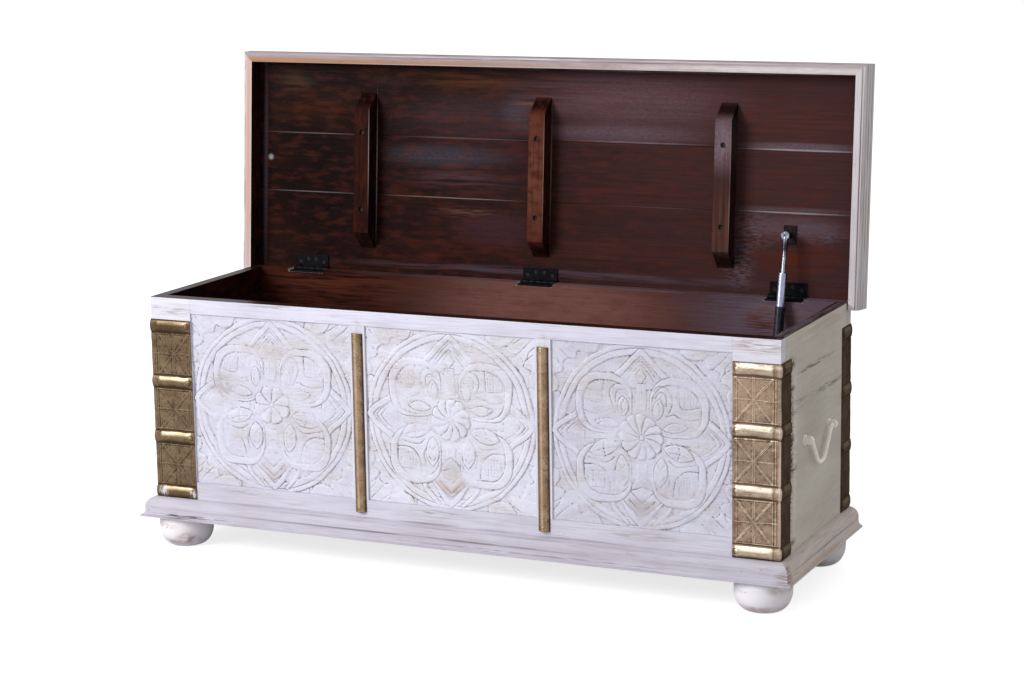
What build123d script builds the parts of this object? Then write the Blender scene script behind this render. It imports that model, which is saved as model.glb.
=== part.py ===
from build123d import *
import math
import os

# Dowry chest with a hinged lid, shown open. Millimetres. X runs along the chest, Y from its front to its
# back and Z up. The origin is on the floor, under the middle of the body. At rest the lid stands open.

# ---- Driving dimensions ------------------------------------------------------------------------------

# Body
body_w = 1150.0         # over the side boards
body_d = 370.0          # front face to back face
wall_h = 357.0          # from the plinth to the rim of the box
front_t = 24.0          # front frame
side_t = 20.0
back_t = 22.0
bottom_t = 12.0

# Front frame and its three carved panels
stile_w = 79.0
muntin_w = 28.0
top_rail_h = 26.0
bottom_rail_h = 31.0
tongue = 6.0            # depth of the groove that holds a panel
tongue_t = 7.0
ground_back = 7.0       # the panel's ground lies this far behind the frame's face
ground_t = 12.0
relief = 5.5            # how far the carving stands up from the ground
ring_out = 154.0        # the great ring, outer radius; the rails cut it off above and below
ring_band = 20.0
loop_r = 48.5           # four loops round the middle, outer radius
loop_band = 12.5
loop_x = 62.0
loop_z = 55.0
rosette_disc_r = 28.0
rosette_petals = 10
petal_r = 7.5           # round end of a rosette petal
petal_at = 28.0         # its middle from the rosette's middle
tip_w = 58.0            # pointed leaf between two loops, at its widest
tip_in = 74.0           # where it starts, from the middle

# Plinth
plinth_h = 34.0
plinth_over = 25.0      # past the body at the front and the ends
plinth_in = 45.0        # under the body
plinth_shelf = 2.0
ovolo_w = 16.0
ovolo_h = 16.0
flare_h = 9.0
lip_h = 3.0

# Feet
foot_h = 55.0
foot_r = 47.5
foot_neck_r = 45.5
foot_base_r = 24.0
foot_belly_z = 33.0
foot_bulge = 0.8        # how far the upper bulge swells past a straight taper
foot_in_x = 62.0        # foot's middle from the plinth's outer edge
foot_in_y = 55.0
dowel_r = 6.0
dowel_in_foot = 20.0
dowel_in_plinth = 24.0

# Brass
brass_t = 1.2
corner_front_w = 79.0
corner_side_w = 49.0
corner_top_gap = 39.0   # bare wood above it
band_count = 4
band_h = 22.0
band_proud = 3.5
band_inset = 12.0       # band's end from the sheet's edge
band_edge = 11.0        # first and last band's middle from the sheet's end
strip_w = 21.0
strip_proud = 7.0
strip_end_gap = 10.0    # bare wood below it
nail_r = 3.5
nail_head = 1.6
nail_shank_r = 1.0
nail_l = 14.0
nail_in = 7.0           # nail from the sheet's edge
nail_shift = 1.3        # front nails above a band's middle and side nails below, so that the shanks pass

# Bail handles
handle_below_rim = 186.0
eye_spacing = 127.0
eye_out = 8.5           # eye's middle from the board
eye_r = 7.0
eye_w = 8.0
eye_neck_r = 4.0
eye_tail = 17.0         # screwed into the board
eye_tail_r = 3.2
eye_collar_r = 9.0
eye_collar_t = 2.0
bail_r = 3.5
bail_drop = 48.0
bail_foot_w = 30.0      # between the corners at the bail's foot
bail_arm_in = 10.5      # where the arm turns down, inside the eye's middle
bail_corner_r = 26.0
bail_turn_r = 7.0
knob_r = 4.8            # the bail's upset ends, outside the eyes
knob_t = 2.6
knob_gap = 0.4
bail_clear = 0.06       # radial, in the eye

# Lid
lid_t = 18.0
lid_gap = 0.4           # under the closed lid
lid_lean = 4.5          # degrees past upright when open
rim_drop = 32.0         # below the lid's underside
rim_w = 20.0
rim_flat = 12.0         # flat bottom edge
rim_nose = 7.0          # radius of the rounded lower arris
rim_fillet_h = 2.0      # straight above the round
rim_quirk = 1.5
rim_swell_h = 19.5      # swelling from the quirk to the full width
rim_swell_bow = 0.6
rim_top_r = 6.0
rim_front_gap = 4.0
rim_side_gap = 1.5
rim_tail = 12.0         # side rims run on behind the hinge pin
seam_back = 143.0       # seams between planks, from the hinge pin
seam_front = 251.0
seam_v = 1.2            # chamfer along the seams
batten_w = 30.0
batten_t = 30.0
batten_start = 44.0     # from the hinge pin
batten_l = 284.0
batten_slope = 30.0
batten_x = 347.0
batten_screw_in = 72.0  # screw from each end

# Butt hinges
hinge_l = 66.0
hinge_x = 462.0
leaf_w = 26.0
leaf_t = 2.5
leaf_gap = 1.0          # between closed leaves
knuckle_r = 4.0
knuckle_room = 0.8      # round the knuckles, in the lid's back plank
knuckle_count = 5
knuckle_gap = 0.25
pin_r = 2.0
pin_out = 5.0           # pin's middle behind the back face
pin_clear = 0.05        # radial, in the upper leaf
mortise_end = 3.5       # mortise past each end of the leaf
leaf_relief = 0.4       # leaf's edge from the other leaf's knuckles

# Screws
screw_r = 1.7
screw_head_r = 3.4
screw_head_h = 2.0
batten_screw_r = 2.25
batten_screw_head_r = 4.2
batten_screw_head_h = 3.0
batten_bore_r = 4.75
batten_screw_sunk = 4.0
batten_screw_l = 42.0
leaf_screw_l = 15.0
leaf_screw_dx = (-24.0, -8.0, 8.0, 24.0)    # along the leaf
leaf_screw_in = (13.0, 18.0, 18.0, 13.0)    # from the pin

# Telescopic lid stay: tube on the body, sleeve in the tube, rod in the sleeve
stay_x = 462.0
stay_from_back = 50.0   # lower joint, in front of the back face
stay_below_rim = 76.0
stay_up_l = 107.0       # upper joint, along the lid from the hinge pin
stay_up_off = 24.0      # and off the lid's underside
tube_r = 8.5
sleeve_r = 7.5
rod_r = 3.5
neck_r = 4.5
neck_l = 23.0           # from the upper joint to the neck's end
rod_shown = 41.0        # rod between neck and sleeve, lid open
tube_from_low = 9.0     # tube's mouth end starts this far above the lower joint
tube_to_up_shut = 8.0   # tube's mouth to the upper joint, lid shut
tube_bore_extra = 2.8   # bore below the shut sleeve's end
tube_floor_t = 1.0
stay_fit = 0.05         # radial, between the stages
sleeve_wall = 2.7
stay_lap = 2.0          # stages overlap when fully drawn out
lug_r = 4.5
lug_t = 6.0
lug_pin_r = 3.0
lug_pin_clear = 0.05
ear_t = 3.0
ear_gap = 0.3
ear_r = 4.5
ear_rise = 2.0          # top of the ear's arm above the pin
plate_t = 3.0
low_plate_w = 32.0
low_plate_h = 34.0
up_plate_w = 22.0
up_plate_l = 32.0
up_plate_t = 2.5
up_screw_dl = 10.5
low_screw_dx = 11.0
low_screw_dz = 12.0
stay_screw_l = 14.0
cap_r = 7.0             # round face of the rod's fitting
cap_t = 4.0
cap_hole_r = 2.5
cap_hole_d = 3.0
ball_r = 5.0            # behind the face, on the upper joint
ball_gap = 1.2          # between the ball and the stud
stud_r = 4.0

# ---- Sizes that follow -------------------------------------------------------------------------------

plinth_top = foot_h + plinth_h
rim_z = plinth_top + wall_h
half_w = body_w / 2
half_d = body_d / 2
opening_w = (body_w - 2 * stile_w - 2 * muntin_w) / 3
panel_z0 = plinth_top + bottom_rail_h
panel_z1 = rim_z - top_rail_h
panel_mid_z = (panel_z0 + panel_z1) / 2
panel_pitch = opening_w + muntin_w
muntin_x = panel_pitch / 2
front_y = -half_d
ground_y = front_y + ground_back
plinth_x = half_w + plinth_over
plinth_front = -half_d - plinth_over
foot_x = plinth_x - foot_in_x
foot_front_y = plinth_front + foot_in_y
foot_back_y = half_d - foot_in_y
handle_z = rim_z - handle_below_rim
stay_low_y = half_d - stay_from_back
stay_low_z = rim_z - stay_below_rim
mortise_d = 2 * leaf_t + leaf_gap - lid_gap
pin_y = half_d + pin_out
pin_z = rim_z - mortise_d + leaf_t + leaf_gap / 2
under_z = rim_z + lid_gap
lid_top_z = under_z + lid_t
rim_low_z = under_z - rim_drop
rim_inner_x = half_w + rim_side_gap
rim_inner_y = -half_d - rim_front_gap
open_angle = 90.0 + lid_lean
hinge_axis = Axis((0, pin_y, pin_z), (1, 0, 0))
corner_z1 = rim_z - corner_top_gap


# ---- Small helpers -----------------------------------------------------------------------------------

def block(x0, x1, y0, y1, z0, z1):
    """A block between three pairs of limits."""
    size = Box(x1 - x0, y1 - y0, z1 - z0)
    return Pos((x0 + x1) / 2, (y0 + y1) / 2, (z0 + z1) / 2) * size


def rod_along(axis, radius, length):
    """A cylinder from the origin along +X, +Y or +Z."""
    upright = Cylinder(radius, length, align=(Align.CENTER, Align.CENTER, Align.MIN))
    turn = {"X": Rot(0, 90, 0), "Y": Rot(-90, 0, 0), "Z": Rot(0, 0, 0)}
    return turn[axis] * upright


def side_prism(points, x0, x1):
    """A prism along X from (Y, Z) points."""
    face = make_face(Polyline(*[(y, z) for y, z in points], close=True))
    return Pos(x0, 0, 0) * extrude(Plane.YZ * face, amount=x1 - x0)


def plan_prism(points, z0, z1):
    """An upright prism from (X, Y) points."""
    face = make_face(Polyline(*points, close=True))
    return Pos(0, 0, z0) * extrude(face, amount=z1 - z0)


def group(shapes):
    """Separate solids kept as one node."""
    return Compound(children=[solid for shape in shapes for solid in shape.solids()])


def minus(shape, cutters):
    """The shape with each cutter taken out."""
    for cutter in cutters:
        shape = shape - cutter
    return shape


def screw(length, radius, head_r, head_h):
    """A countersunk screw, its head's flat at the origin, pointing along -Z."""
    head = Pos(0, 0, -head_h / 2) * Cone(radius, head_r, head_h)
    shank = Pos(0, 0, -length) * Cylinder(radius, length - head_h, align=(Align.CENTER, Align.CENTER, Align.MIN))
    return head + shank


def opened(shape):
    """A piece drawn on the shut lid, turned to where it stands at rest."""
    return shape.rotate(hinge_axis, -open_angle)


parts = {}


# ---- Feet and plinth ---------------------------------------------------------------------------------

def bun_foot():
    """A turned bun: a short upper bulge over a half-oval bowl with a small flat base."""
    bowl = EllipticalCenterArc(
        (foot_base_r, foot_belly_z), foot_r - foot_base_r, foot_belly_z, start_angle=270, arc_size=90
    )
    bulge_mid = ((foot_r + foot_neck_r) / 2 + foot_bulge, (foot_belly_z + foot_h) / 2)
    bulge = ThreePointArc((foot_r, foot_belly_z), bulge_mid, (foot_neck_r, foot_h))
    rest = Polyline((foot_neck_r, foot_h), (0, foot_h), (0, 0), (foot_base_r, 0))
    return revolve(Plane.XZ * make_face(bowl + bulge + rest), Axis.Z)


foot_places = {
    "front_left": (-foot_x, foot_front_y),
    "front_right": (foot_x, foot_front_y),
    "back_left": (-foot_x, foot_back_y),
    "back_right": (foot_x, foot_back_y),
}
dowels = [
    Pos(x, y, foot_h - dowel_in_foot) * rod_along("Z", dowel_r, dowel_in_foot + dowel_in_plinth)
    for x, y in foot_places.values()
]
for (place, (x, y)), dowel in zip(foot_places.items(), dowels):
    parts["foot_" + place] = Pos(x, y, 0) * bun_foot() - dowel
parts["foot_dowels"] = group(dowels)


def plinth_length(plane, length):
    """The plinth's moulding, extruded both ways: shelf, ovolo, straight, hollow flare and lip."""
    ovolo_x = plinth_shelf + ovolo_w
    straight_z = lip_h + flare_h
    back = Polyline((plinth_over, lip_h), (plinth_over, 0), (-plinth_in, 0), (-plinth_in, plinth_h), (plinth_shelf, plinth_h))
    ovolo = EllipticalCenterArc(
        (plinth_shelf, plinth_h - ovolo_h), ovolo_w, ovolo_h, start_angle=0, arc_size=90
    )
    straight = Line((ovolo_x, plinth_h - ovolo_h), (ovolo_x, straight_z))
    flare = EllipticalCenterArc(
        (plinth_over, straight_z), plinth_over - ovolo_x, flare_h, start_angle=180, arc_size=90
    )
    return extrude(plane * make_face(back + ovolo + straight + flare), amount=length / 2, both=True)


plinth_inner_x = half_w - plinth_in
plinth_inner_y = -half_d + plinth_in
outer_corners = [(-plinth_x, plinth_front), (plinth_x, plinth_front)]
inner_corners = [(plinth_inner_x, plinth_inner_y), (-plinth_inner_x, plinth_inner_y)]
front_plan = plan_prism(outer_corners + inner_corners, foot_h, plinth_top)
front_plane = Plane((0, -half_d, foot_h), x_dir=(0, -1, 0), z_dir=(-1, 0, 0))
plinth_front_length = plinth_length(front_plane, 2 * plinth_x) & front_plan
right_plane = Plane((half_w, 0, foot_h), x_dir=(1, 0, 0), z_dir=(0, -1, 0))
right_plan = plan_prism(
    [(plinth_x, plinth_front), (plinth_x, half_d), (plinth_inner_x, half_d), (plinth_inner_x, plinth_inner_y)],
    foot_h,
    plinth_top,
)
plinth_right_length = plinth_length(right_plane, 4 * body_d) & right_plan
parts["plinth_front"] = minus(plinth_front_length, dowels)
parts["plinth_right"] = minus(plinth_right_length, dowels)
parts["plinth_left"] = minus(mirror(plinth_right_length, Plane.YZ), dowels)
plinth_back_y = half_d - plinth_in - plinth_over
parts["plinth_back"] = block(-plinth_inner_x, plinth_inner_x, plinth_back_y, half_d, foot_h, plinth_top)


# ---- Carcass boards ----------------------------------------------------------------------------------

frame_back = front_y + front_t
board_front = half_d - back_t
side_board = block(half_w - side_t, half_w, frame_back, board_front, plinth_top, rim_z)
back_board = block(-half_w, half_w, board_front, half_d, plinth_top, rim_z)
parts["bottom_board"] = block(
    -half_w + side_t, half_w - side_t, frame_back, board_front, plinth_top, plinth_top + bottom_t
)


def frame_member(x0, x1, z0, z1):
    """A rail or stile of the front frame."""
    return block(x0, x1, front_y, frame_back, z0, z1)


panel_x = {"left": -panel_pitch, "centre": 0.0, "right": panel_pitch}
tongue_y = ground_y + (ground_t - tongue_t) / 2
tongues = [
    block(
        x - opening_w / 2 - tongue, x + opening_w / 2 + tongue,
        tongue_y, tongue_y + tongue_t,
        panel_z0 - tongue, panel_z1 + tongue,
    )
    for x in panel_x.values()
]
stile_right = minus(frame_member(half_w - stile_w, half_w, plinth_top, rim_z), tongues)
stile_left = mirror(stile_right, Plane.YZ)
rail_x = half_w - stile_w
parts["front_top_rail"] = minus(frame_member(-rail_x, rail_x, panel_z1, rim_z), tongues)
parts["front_bottom_rail"] = minus(frame_member(-rail_x, rail_x, plinth_top, panel_z0), tongues)
muntin_right = minus(
    frame_member(muntin_x - muntin_w / 2, muntin_x + muntin_w / 2, panel_z0, panel_z1), tongues
)
muntin_left = mirror(muntin_right, Plane.YZ)


def relief_face():
    """The carving's main forms, flat: great ring, four loops, rosette and four pointed leaves."""
    ring = Circle(ring_out) - Circle(ring_out - ring_band)
    loops = [
        Pos(sx * loop_x, sz * loop_z) * (Circle(loop_r) - Circle(loop_r - loop_band))
        for sx in (-1, 1)
        for sz in (-1, 1)
    ]
    petals = [
        Rot(0, 0, 360 * k / rosette_petals) * Pos(petal_at, 0) * Circle(petal_r)
        for k in range(rosette_petals)
    ]
    reach = ring_out - ring_band / 2
    leaf = make_face(Polyline((tip_in, 0), ((tip_in + reach) / 2, tip_w / 2), (reach, 0),
                              ((tip_in + reach) / 2, -tip_w / 2), close=True))
    leaves = [Rot(0, 0, 90 * k) * leaf for k in range(4)]
    face = ring
    for piece in loops + [Circle(rosette_disc_r)] + petals + leaves:
        face = face + piece
    return face & Rectangle(opening_w, panel_z1 - panel_z0)


carving_plane = Plane((0, ground_y, panel_mid_z), x_dir=(1, 0, 0), z_dir=(0, -1, 0))
carving = extrude(carving_plane * relief_face(), amount=relief)
panel_ground = block(
    -opening_w / 2, opening_w / 2, ground_y, ground_y + ground_t, panel_z0, panel_z1
)
for (place, x), tongue_block in zip(panel_x.items(), tongues):
    parts["carved_panel_" + place] = Pos(x, 0, 0) * (panel_ground + carving) + tongue_block


# ---- Brass -------------------------------------------------------------------------------------------

corner_z0 = plinth_top
band_span = corner_z1 - corner_z0 - 2 * band_edge
band_zs = [corner_z0 + band_edge + band_span * k / (band_count - 1) for k in range(band_count)]


def half_round(plane, width, proud, length):
    """A bar with a flat back and a round front, centred on the plane and extruded both ways."""
    arc = ThreePointArc((-width / 2, 0), (0, proud), (width / 2, 0))
    face = make_face(arc + Line((width / 2, 0), (-width / 2, 0)))
    return extrude(plane * face, amount=length / 2, both=True)


def corner_brass():
    """The front right corner: two legs of sheet with a raised band across each at every band height."""
    face_x0 = half_w - corner_front_w
    side_y1 = front_y + corner_side_w
    sheet = plan_prism(
        [
            (face_x0, front_y - brass_t), (half_w + brass_t, front_y - brass_t), (half_w + brass_t, side_y1),
            (half_w, side_y1), (half_w, front_y), (face_x0, front_y),
        ],
        corner_z0,
        corner_z1,
    )
    for z in band_zs:
        front_place = Plane(
            ((face_x0 + half_w) / 2, front_y - brass_t, z), x_dir=(0, 0, 1), z_dir=(1, 0, 0)
        )
        side_place = Plane(
            (half_w + brass_t, (front_y + side_y1) / 2, z), x_dir=(0, 0, 1), z_dir=(0, 1, 0)
        )
        sheet = sheet + half_round(front_place, band_h, band_proud, corner_front_w - 2 * band_inset)
        sheet = sheet + half_round(side_place, band_h, band_proud, corner_side_w - 2 * band_inset)
    return sheet


def nail(direction):
    """A domed nail: head's underside at the origin, head on the outer side, shank going in."""
    dome_r = (nail_r**2 + nail_head**2) / (2 * nail_head)
    ball = Pos(0, 0, nail_head - dome_r) * Sphere(dome_r)
    head = ball & (Pos(0, 0, nail_head / 2) * Cylinder(nail_r + 1, nail_head))
    shank = Pos(0, 0, -nail_l) * rod_along("Z", nail_shank_r, nail_l)
    turn = {"front": Rot(90, 0, 0), "right": Rot(0, 90, 0)}
    return turn[direction] * (head + shank)


corner_nails = []
for z in band_zs:
    for x in (half_w - corner_front_w + nail_in, half_w - nail_in):
        corner_nails.append(Pos(x, front_y - brass_t, z + nail_shift) * nail("front"))
    for y in (front_y + nail_in, front_y + corner_side_w - nail_in):
        corner_nails.append(Pos(half_w + brass_t, y, z - nail_shift) * nail("right"))
corner_front_right = minus(corner_brass(), corner_nails)
front_nails = corner_nails + [mirror(piece, Plane.YZ) for piece in corner_nails]
back_nails = [mirror(piece, Plane.XZ) for piece in front_nails]
parts["corner_brass_front_right"] = corner_front_right
parts["corner_brass_front_left"] = mirror(corner_front_right, Plane.YZ)
parts["corner_brass_back_right"] = mirror(corner_front_right, Plane.XZ)
parts["corner_brass_back_left"] = mirror(mirror(corner_front_right, Plane.YZ), Plane.XZ)

strip_z0 = plinth_top + strip_end_gap
strip_mid = Plane((0, front_y, (strip_z0 + corner_z1) / 2), x_dir=(-1, 0, 0), z_dir=(0, 0, 1))
strip = half_round(strip_mid, strip_w, strip_proud, corner_z1 - strip_z0)
strip_nails = []
for place, x in (("left", -muntin_x), ("right", muntin_x)):
    pair = [Pos(x, front_y - strip_proud, z) * nail("front") for z in (strip_z0 + nail_in, corner_z1 - nail_in)]
    parts["brass_strip_" + place] = minus(Pos(x, 0, 0) * strip, pair)
    strip_nails += pair

all_nails = front_nails + back_nails + strip_nails
parts["brass_nails"] = group(all_nails)
parts["front_stile_right"] = minus(stile_right, corner_nails)
parts["front_stile_left"] = mirror(parts["front_stile_right"], Plane.YZ)
for place, piece in (("left", muntin_left), ("right", muntin_right)):
    parts["front_muntin_" + place] = minus(piece, strip_nails)
parts["front_top_rail"] = minus(parts["front_top_rail"], strip_nails)
parts["front_bottom_rail"] = minus(parts["front_bottom_rail"], strip_nails)
side_nails = [piece for piece in corner_nails if piece.center().X > half_w - nail_l]
side_nails += [mirror(piece, Plane.XZ) for piece in side_nails]


# ---- Bail handles ------------------------------------------------------------------------------------

eye_x = half_w + eye_out


def eye_bolt(y):
    """An eye with a neck, a collar against the board and a tail in it."""
    ring = Pos(eye_x, y - eye_w / 2, handle_z) * rod_along("Y", eye_r, eye_w)
    neck = Pos(half_w, y, handle_z) * rod_along("X", eye_neck_r, eye_out)
    collar = Pos(half_w, y, handle_z) * rod_along("X", eye_collar_r, eye_collar_t)
    tail = Pos(half_w - eye_tail, y, handle_z) * rod_along("X", eye_tail_r, eye_tail)
    hole = Pos(eye_x, y - eye_w, handle_z) * rod_along("Y", bail_r + bail_clear, 2 * eye_w)
    return ring + neck + collar + tail - hole


def bail():
    """A round bar through both eyes, hanging between them in a wide U."""
    side = eye_spacing / 2
    arm = side - bail_arm_in
    low = handle_z - bail_drop
    end = side + eye_w / 2 + knob_gap
    path = FilletPolyline(
        (eye_x, -end, handle_z), (eye_x, -arm, handle_z), (eye_x, -bail_foot_w / 2, low),
        (eye_x, bail_foot_w / 2, low), (eye_x, arm, handle_z), (eye_x, end, handle_z),
        radius=[bail_turn_r, bail_corner_r, bail_corner_r, bail_turn_r],
    )
    start = Plane(origin=path @ 0, z_dir=path % 0)
    knob = rod_along("Y", knob_r, knob_t)
    bar = sweep(start * Circle(bail_r), path=path)
    return bar + Pos(eye_x, end, handle_z) * knob + Pos(eye_x, -end - knob_t, handle_z) * knob


eyes_right = [eye_bolt(-eye_spacing / 2), eye_bolt(eye_spacing / 2)]
parts["handle_eyes_right"] = group(eyes_right)
parts["handle_eyes_left"] = group([mirror(piece, Plane.YZ) for piece in eyes_right])
bail_right = bail()
parts["bail_right"] = bail_right
parts["bail_left"] = mirror(bail_right, Plane.YZ)
side_board_right = minus(side_board, side_nails + eyes_right)
parts["side_board_right"] = side_board_right
parts["side_board_left"] = mirror(side_board_right, Plane.YZ)


# ---- Butt hinges -------------------------------------------------------------------------------------

hinge_places = {"left": -hinge_x, "middle": 0.0, "right": hinge_x}
knuckle_l = hinge_l / knuckle_count


def hinge_leaf(side, bore_r):
    """A leaf with its knuckles, at X 0. side is -1 for the lower leaf and 1 for the upper one, shut."""
    far = side * (leaf_gap / 2 + leaf_t)
    near = side * leaf_gap / 2
    z0, z1 = pin_z + min(far, near), pin_z + max(far, near)
    edge_y = pin_y - knuckle_r - leaf_relief
    leaf = block(-hinge_l / 2, hinge_l / 2, pin_y - leaf_w, edge_y, z0, z1)
    first = 0 if side < 0 else 1
    for k in range(first, knuckle_count, 2):
        x0 = -hinge_l / 2 + k * knuckle_l + (knuckle_gap if k else 0)
        x1 = -hinge_l / 2 + (k + 1) * knuckle_l - (knuckle_gap if k < knuckle_count - 1 else 0)
        leaf = leaf + block(x0, x1, edge_y - leaf_relief, pin_y, z0, z1)
        leaf = leaf + Pos(x0, pin_y, pin_z) * rod_along("X", knuckle_r, x1 - x0)
    return leaf - Pos(-hinge_l, pin_y, pin_z) * rod_along("X", bore_r, 2 * hinge_l)


def leaf_screws(side, x_mid):
    """A leaf's screws: the lower leaf's point down, the upper leaf's point up."""
    z = pin_z + side * leaf_gap / 2
    turn = Rot(0, 0, 0) if side < 0 else Rot(180, 0, 0)
    one = turn * screw(leaf_screw_l, screw_r, screw_head_r, screw_head_h)
    return [Pos(x_mid + dx, pin_y - dy, z) * one for dx, dy in zip(leaf_screw_dx, leaf_screw_in)]


lower_screws = [piece for x in hinge_places.values() for piece in leaf_screws(-1, x)]
upper_screws = [piece for x in hinge_places.values() for piece in leaf_screws(1, x)]
lower_leaf = hinge_leaf(-1, pin_r)
upper_leaf = hinge_leaf(1, pin_r + pin_clear)
mortise_half = hinge_l / 2 + mortise_end
mortises = [
    block(x - mortise_half, x + mortise_half, board_front, half_d, rim_z - mortise_d, rim_z)
    for x in hinge_places.values()
]
for place, x in hinge_places.items():
    parts["hinge_lower_leaf_" + place] = minus(Pos(x, 0, 0) * lower_leaf, leaf_screws(-1, x))
    parts["hinge_upper_leaf_" + place] = opened(minus(Pos(x, 0, 0) * upper_leaf, leaf_screws(1, x)))
pins = [Pos(x - hinge_l / 2, pin_y, pin_z) * rod_along("X", pin_r, hinge_l) for x in hinge_places.values()]
parts["hinge_pins"] = group(pins)


# ---- Lid ---------------------------------------------------------------------------------------------

def rim_profile():
    """Rim from inside (0) outwards and up from its lower edge: flat, round nose, quirk, swelling side, round top."""
    top = rim_drop + lid_t
    nose_x = rim_flat + rim_nose
    fillet_z = rim_nose + rim_fillet_h
    quirk_x = nose_x - rim_quirk
    swell_z = fillet_z + rim_quirk
    full_z = swell_z + rim_swell_h
    nose = RadiusArc((rim_flat, 0), (nose_x, rim_nose), -rim_nose)
    quirk = Polyline((nose_x, rim_nose), (nose_x, fillet_z), (quirk_x, fillet_z), (quirk_x, swell_z))
    swell_mid = ((quirk_x + rim_w) / 2 + rim_swell_bow, (swell_z + full_z) / 2)
    swell = ThreePointArc((quirk_x, swell_z), swell_mid, (rim_w, full_z))
    straight = Line((rim_w, full_z), (rim_w, top - rim_top_r))
    crown = RadiusArc((rim_w, top - rim_top_r), (rim_w - rim_top_r, top), -rim_top_r)
    back = Polyline((rim_w - rim_top_r, top), (0, top), (0, 0), (rim_flat, 0))
    return make_face(nose + quirk + swell + straight + crown + back)


rim_outer_x = rim_inner_x + rim_w
rim_outer_y = rim_inner_y - rim_w
rim_back_y = pin_y + rim_tail
rim_front_plan = plan_prism(
    [(-rim_outer_x, rim_outer_y), (rim_outer_x, rim_outer_y), (rim_inner_x, rim_inner_y), (-rim_inner_x, rim_inner_y)],
    rim_low_z, lid_top_z,
)
rim_front_plane = Plane((0, rim_inner_y, rim_low_z), x_dir=(0, -1, 0), z_dir=(-1, 0, 0))
rim_front = extrude(rim_front_plane * rim_profile(), amount=rim_outer_x, both=True) & rim_front_plan
rim_right_plan = plan_prism(
    [(rim_outer_x, rim_outer_y), (rim_outer_x, rim_back_y), (rim_inner_x, rim_back_y), (rim_inner_x, rim_inner_y)],
    rim_low_z, lid_top_z,
)
rim_right_plane = Plane((rim_inner_x, 0, rim_low_z), x_dir=(1, 0, 0), z_dir=(0, -1, 0))
rim_right = extrude(rim_right_plane * rim_profile(), amount=2 * body_d, both=True) & rim_right_plan
parts["lid_rim_front"] = opened(rim_front)
parts["lid_rim_right"] = opened(rim_right)
parts["lid_rim_left"] = opened(mirror(rim_right, Plane.YZ))


def lid_plank(y0, y1, chamfer_front, chamfer_back):
    """A plank between the rims, with a small chamfer along each seam, above and below."""
    front_v = seam_v if chamfer_front else 0
    back_v = seam_v if chamfer_back else 0
    points = [(y0 + front_v, under_z), (y1 - back_v, under_z)]
    points += [(y1, under_z + back_v), (y1, lid_top_z - back_v)] if chamfer_back else []
    points += [(y1 - back_v, lid_top_z), (y0 + front_v, lid_top_z)]
    points += [(y0, lid_top_z - front_v), (y0, under_z + front_v)] if chamfer_front else []
    return side_prism(points, -rim_inner_x, rim_inner_x)


planks = {
    "back": lid_plank(pin_y - seam_back, rim_back_y, True, False),
    "middle": lid_plank(pin_y - seam_front, pin_y - seam_back, True, True),
    "front": lid_plank(rim_inner_y, pin_y - seam_front, False, True),
}


def batten():
    """A bar under the lid with both ends cut on a slope."""
    back_y = pin_y - batten_start
    front = back_y - batten_l
    low = under_z - batten_t
    points = [(back_y, under_z), (back_y - batten_slope, low), (front + batten_slope, low), (front, under_z)]
    return side_prism(points, -batten_w / 2, batten_w / 2)


batten_places = {"left": -batten_x, "centre": 0.0, "right": batten_x}
screw_ys = (pin_y - batten_start - batten_screw_in, pin_y - batten_start - batten_l + batten_screw_in)
batten_screw_one = Rot(180, 0, 0) * screw(
    batten_screw_l, batten_screw_r, batten_screw_head_r, batten_screw_head_h
)
screw_seat_z = under_z - batten_t + batten_screw_sunk
counterbore = Pos(0, 0, -2 * batten_screw_sunk) * rod_along("Z", batten_bore_r, 2 * batten_screw_sunk)
batten_screws, counterbores = [], []
for x in batten_places.values():
    for y in screw_ys:
        batten_screws.append(Pos(x, y, screw_seat_z) * batten_screw_one)
        counterbores.append(Pos(x, y, screw_seat_z) * counterbore)
for place, x in batten_places.items():
    bar = minus(Pos(x, 0, 0) * batten(), batten_screws + counterbores)
    parts["lid_batten_" + place] = opened(bar)


# ---- Telescopic lid stay -----------------------------------------------------------------------------

up_y_shut = pin_y - stay_up_l
up_z_shut = under_z - stay_up_off
up_shut = Vector(0, up_y_shut, up_z_shut)
up_open = opened(Pos(0, up_y_shut, up_z_shut) * Sphere(1)).center()
low_joint = Vector(0, stay_low_y, stay_low_z)
reach_open = (up_open - low_joint).length
reach_shut = (up_shut - low_joint).length
tube_l = reach_shut - tube_to_up_shut - tube_from_low
sleeve_shown = reach_open - neck_l - rod_shown - tube_l - tube_from_low
tube_mouth = tube_from_low + tube_l
sleeve_top = tube_mouth + sleeve_shown
sleeve_l = sleeve_shown + stay_lap
sleeve_bore_r = sleeve_r - sleeve_wall
stay_tilt = math.degrees(math.atan2(up_open.Y - low_joint.Y, up_open.Z - low_joint.Z))
stay_shut_tilt = math.degrees(math.atan2(up_shut.Y - low_joint.Y, up_shut.Z - low_joint.Z))


def stay_placed(shape):
    """A piece drawn upright from the lower joint, turned to the open lid's line."""
    return Pos(stay_x, stay_low_y, stay_low_z) * Rot(-stay_tilt, 0, 0) * shape


tube_closed_l = tube_bore_extra + tube_floor_t
tube = Pos(0, 0, tube_from_low - tube_closed_l) * rod_along("Z", tube_r, tube_l + tube_closed_l)
tube_bore = Pos(0, 0, tube_from_low - tube_bore_extra) * rod_along("Z", sleeve_r + stay_fit, 2 * tube_l)
lug = Pos(-lug_t / 2, 0, 0) * rod_along("X", lug_r, lug_t)
lug = lug + block(-lug_t / 2, lug_t / 2, -lug_r, lug_r, 0, tube_from_low - tube_bore_extra)
lug_hole = Pos(-lug_t, 0, 0) * rod_along("X", lug_pin_r + lug_pin_clear, 2 * lug_t)
parts["stay_tube"] = stay_placed(tube - tube_bore + lug - lug_hole)

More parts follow.
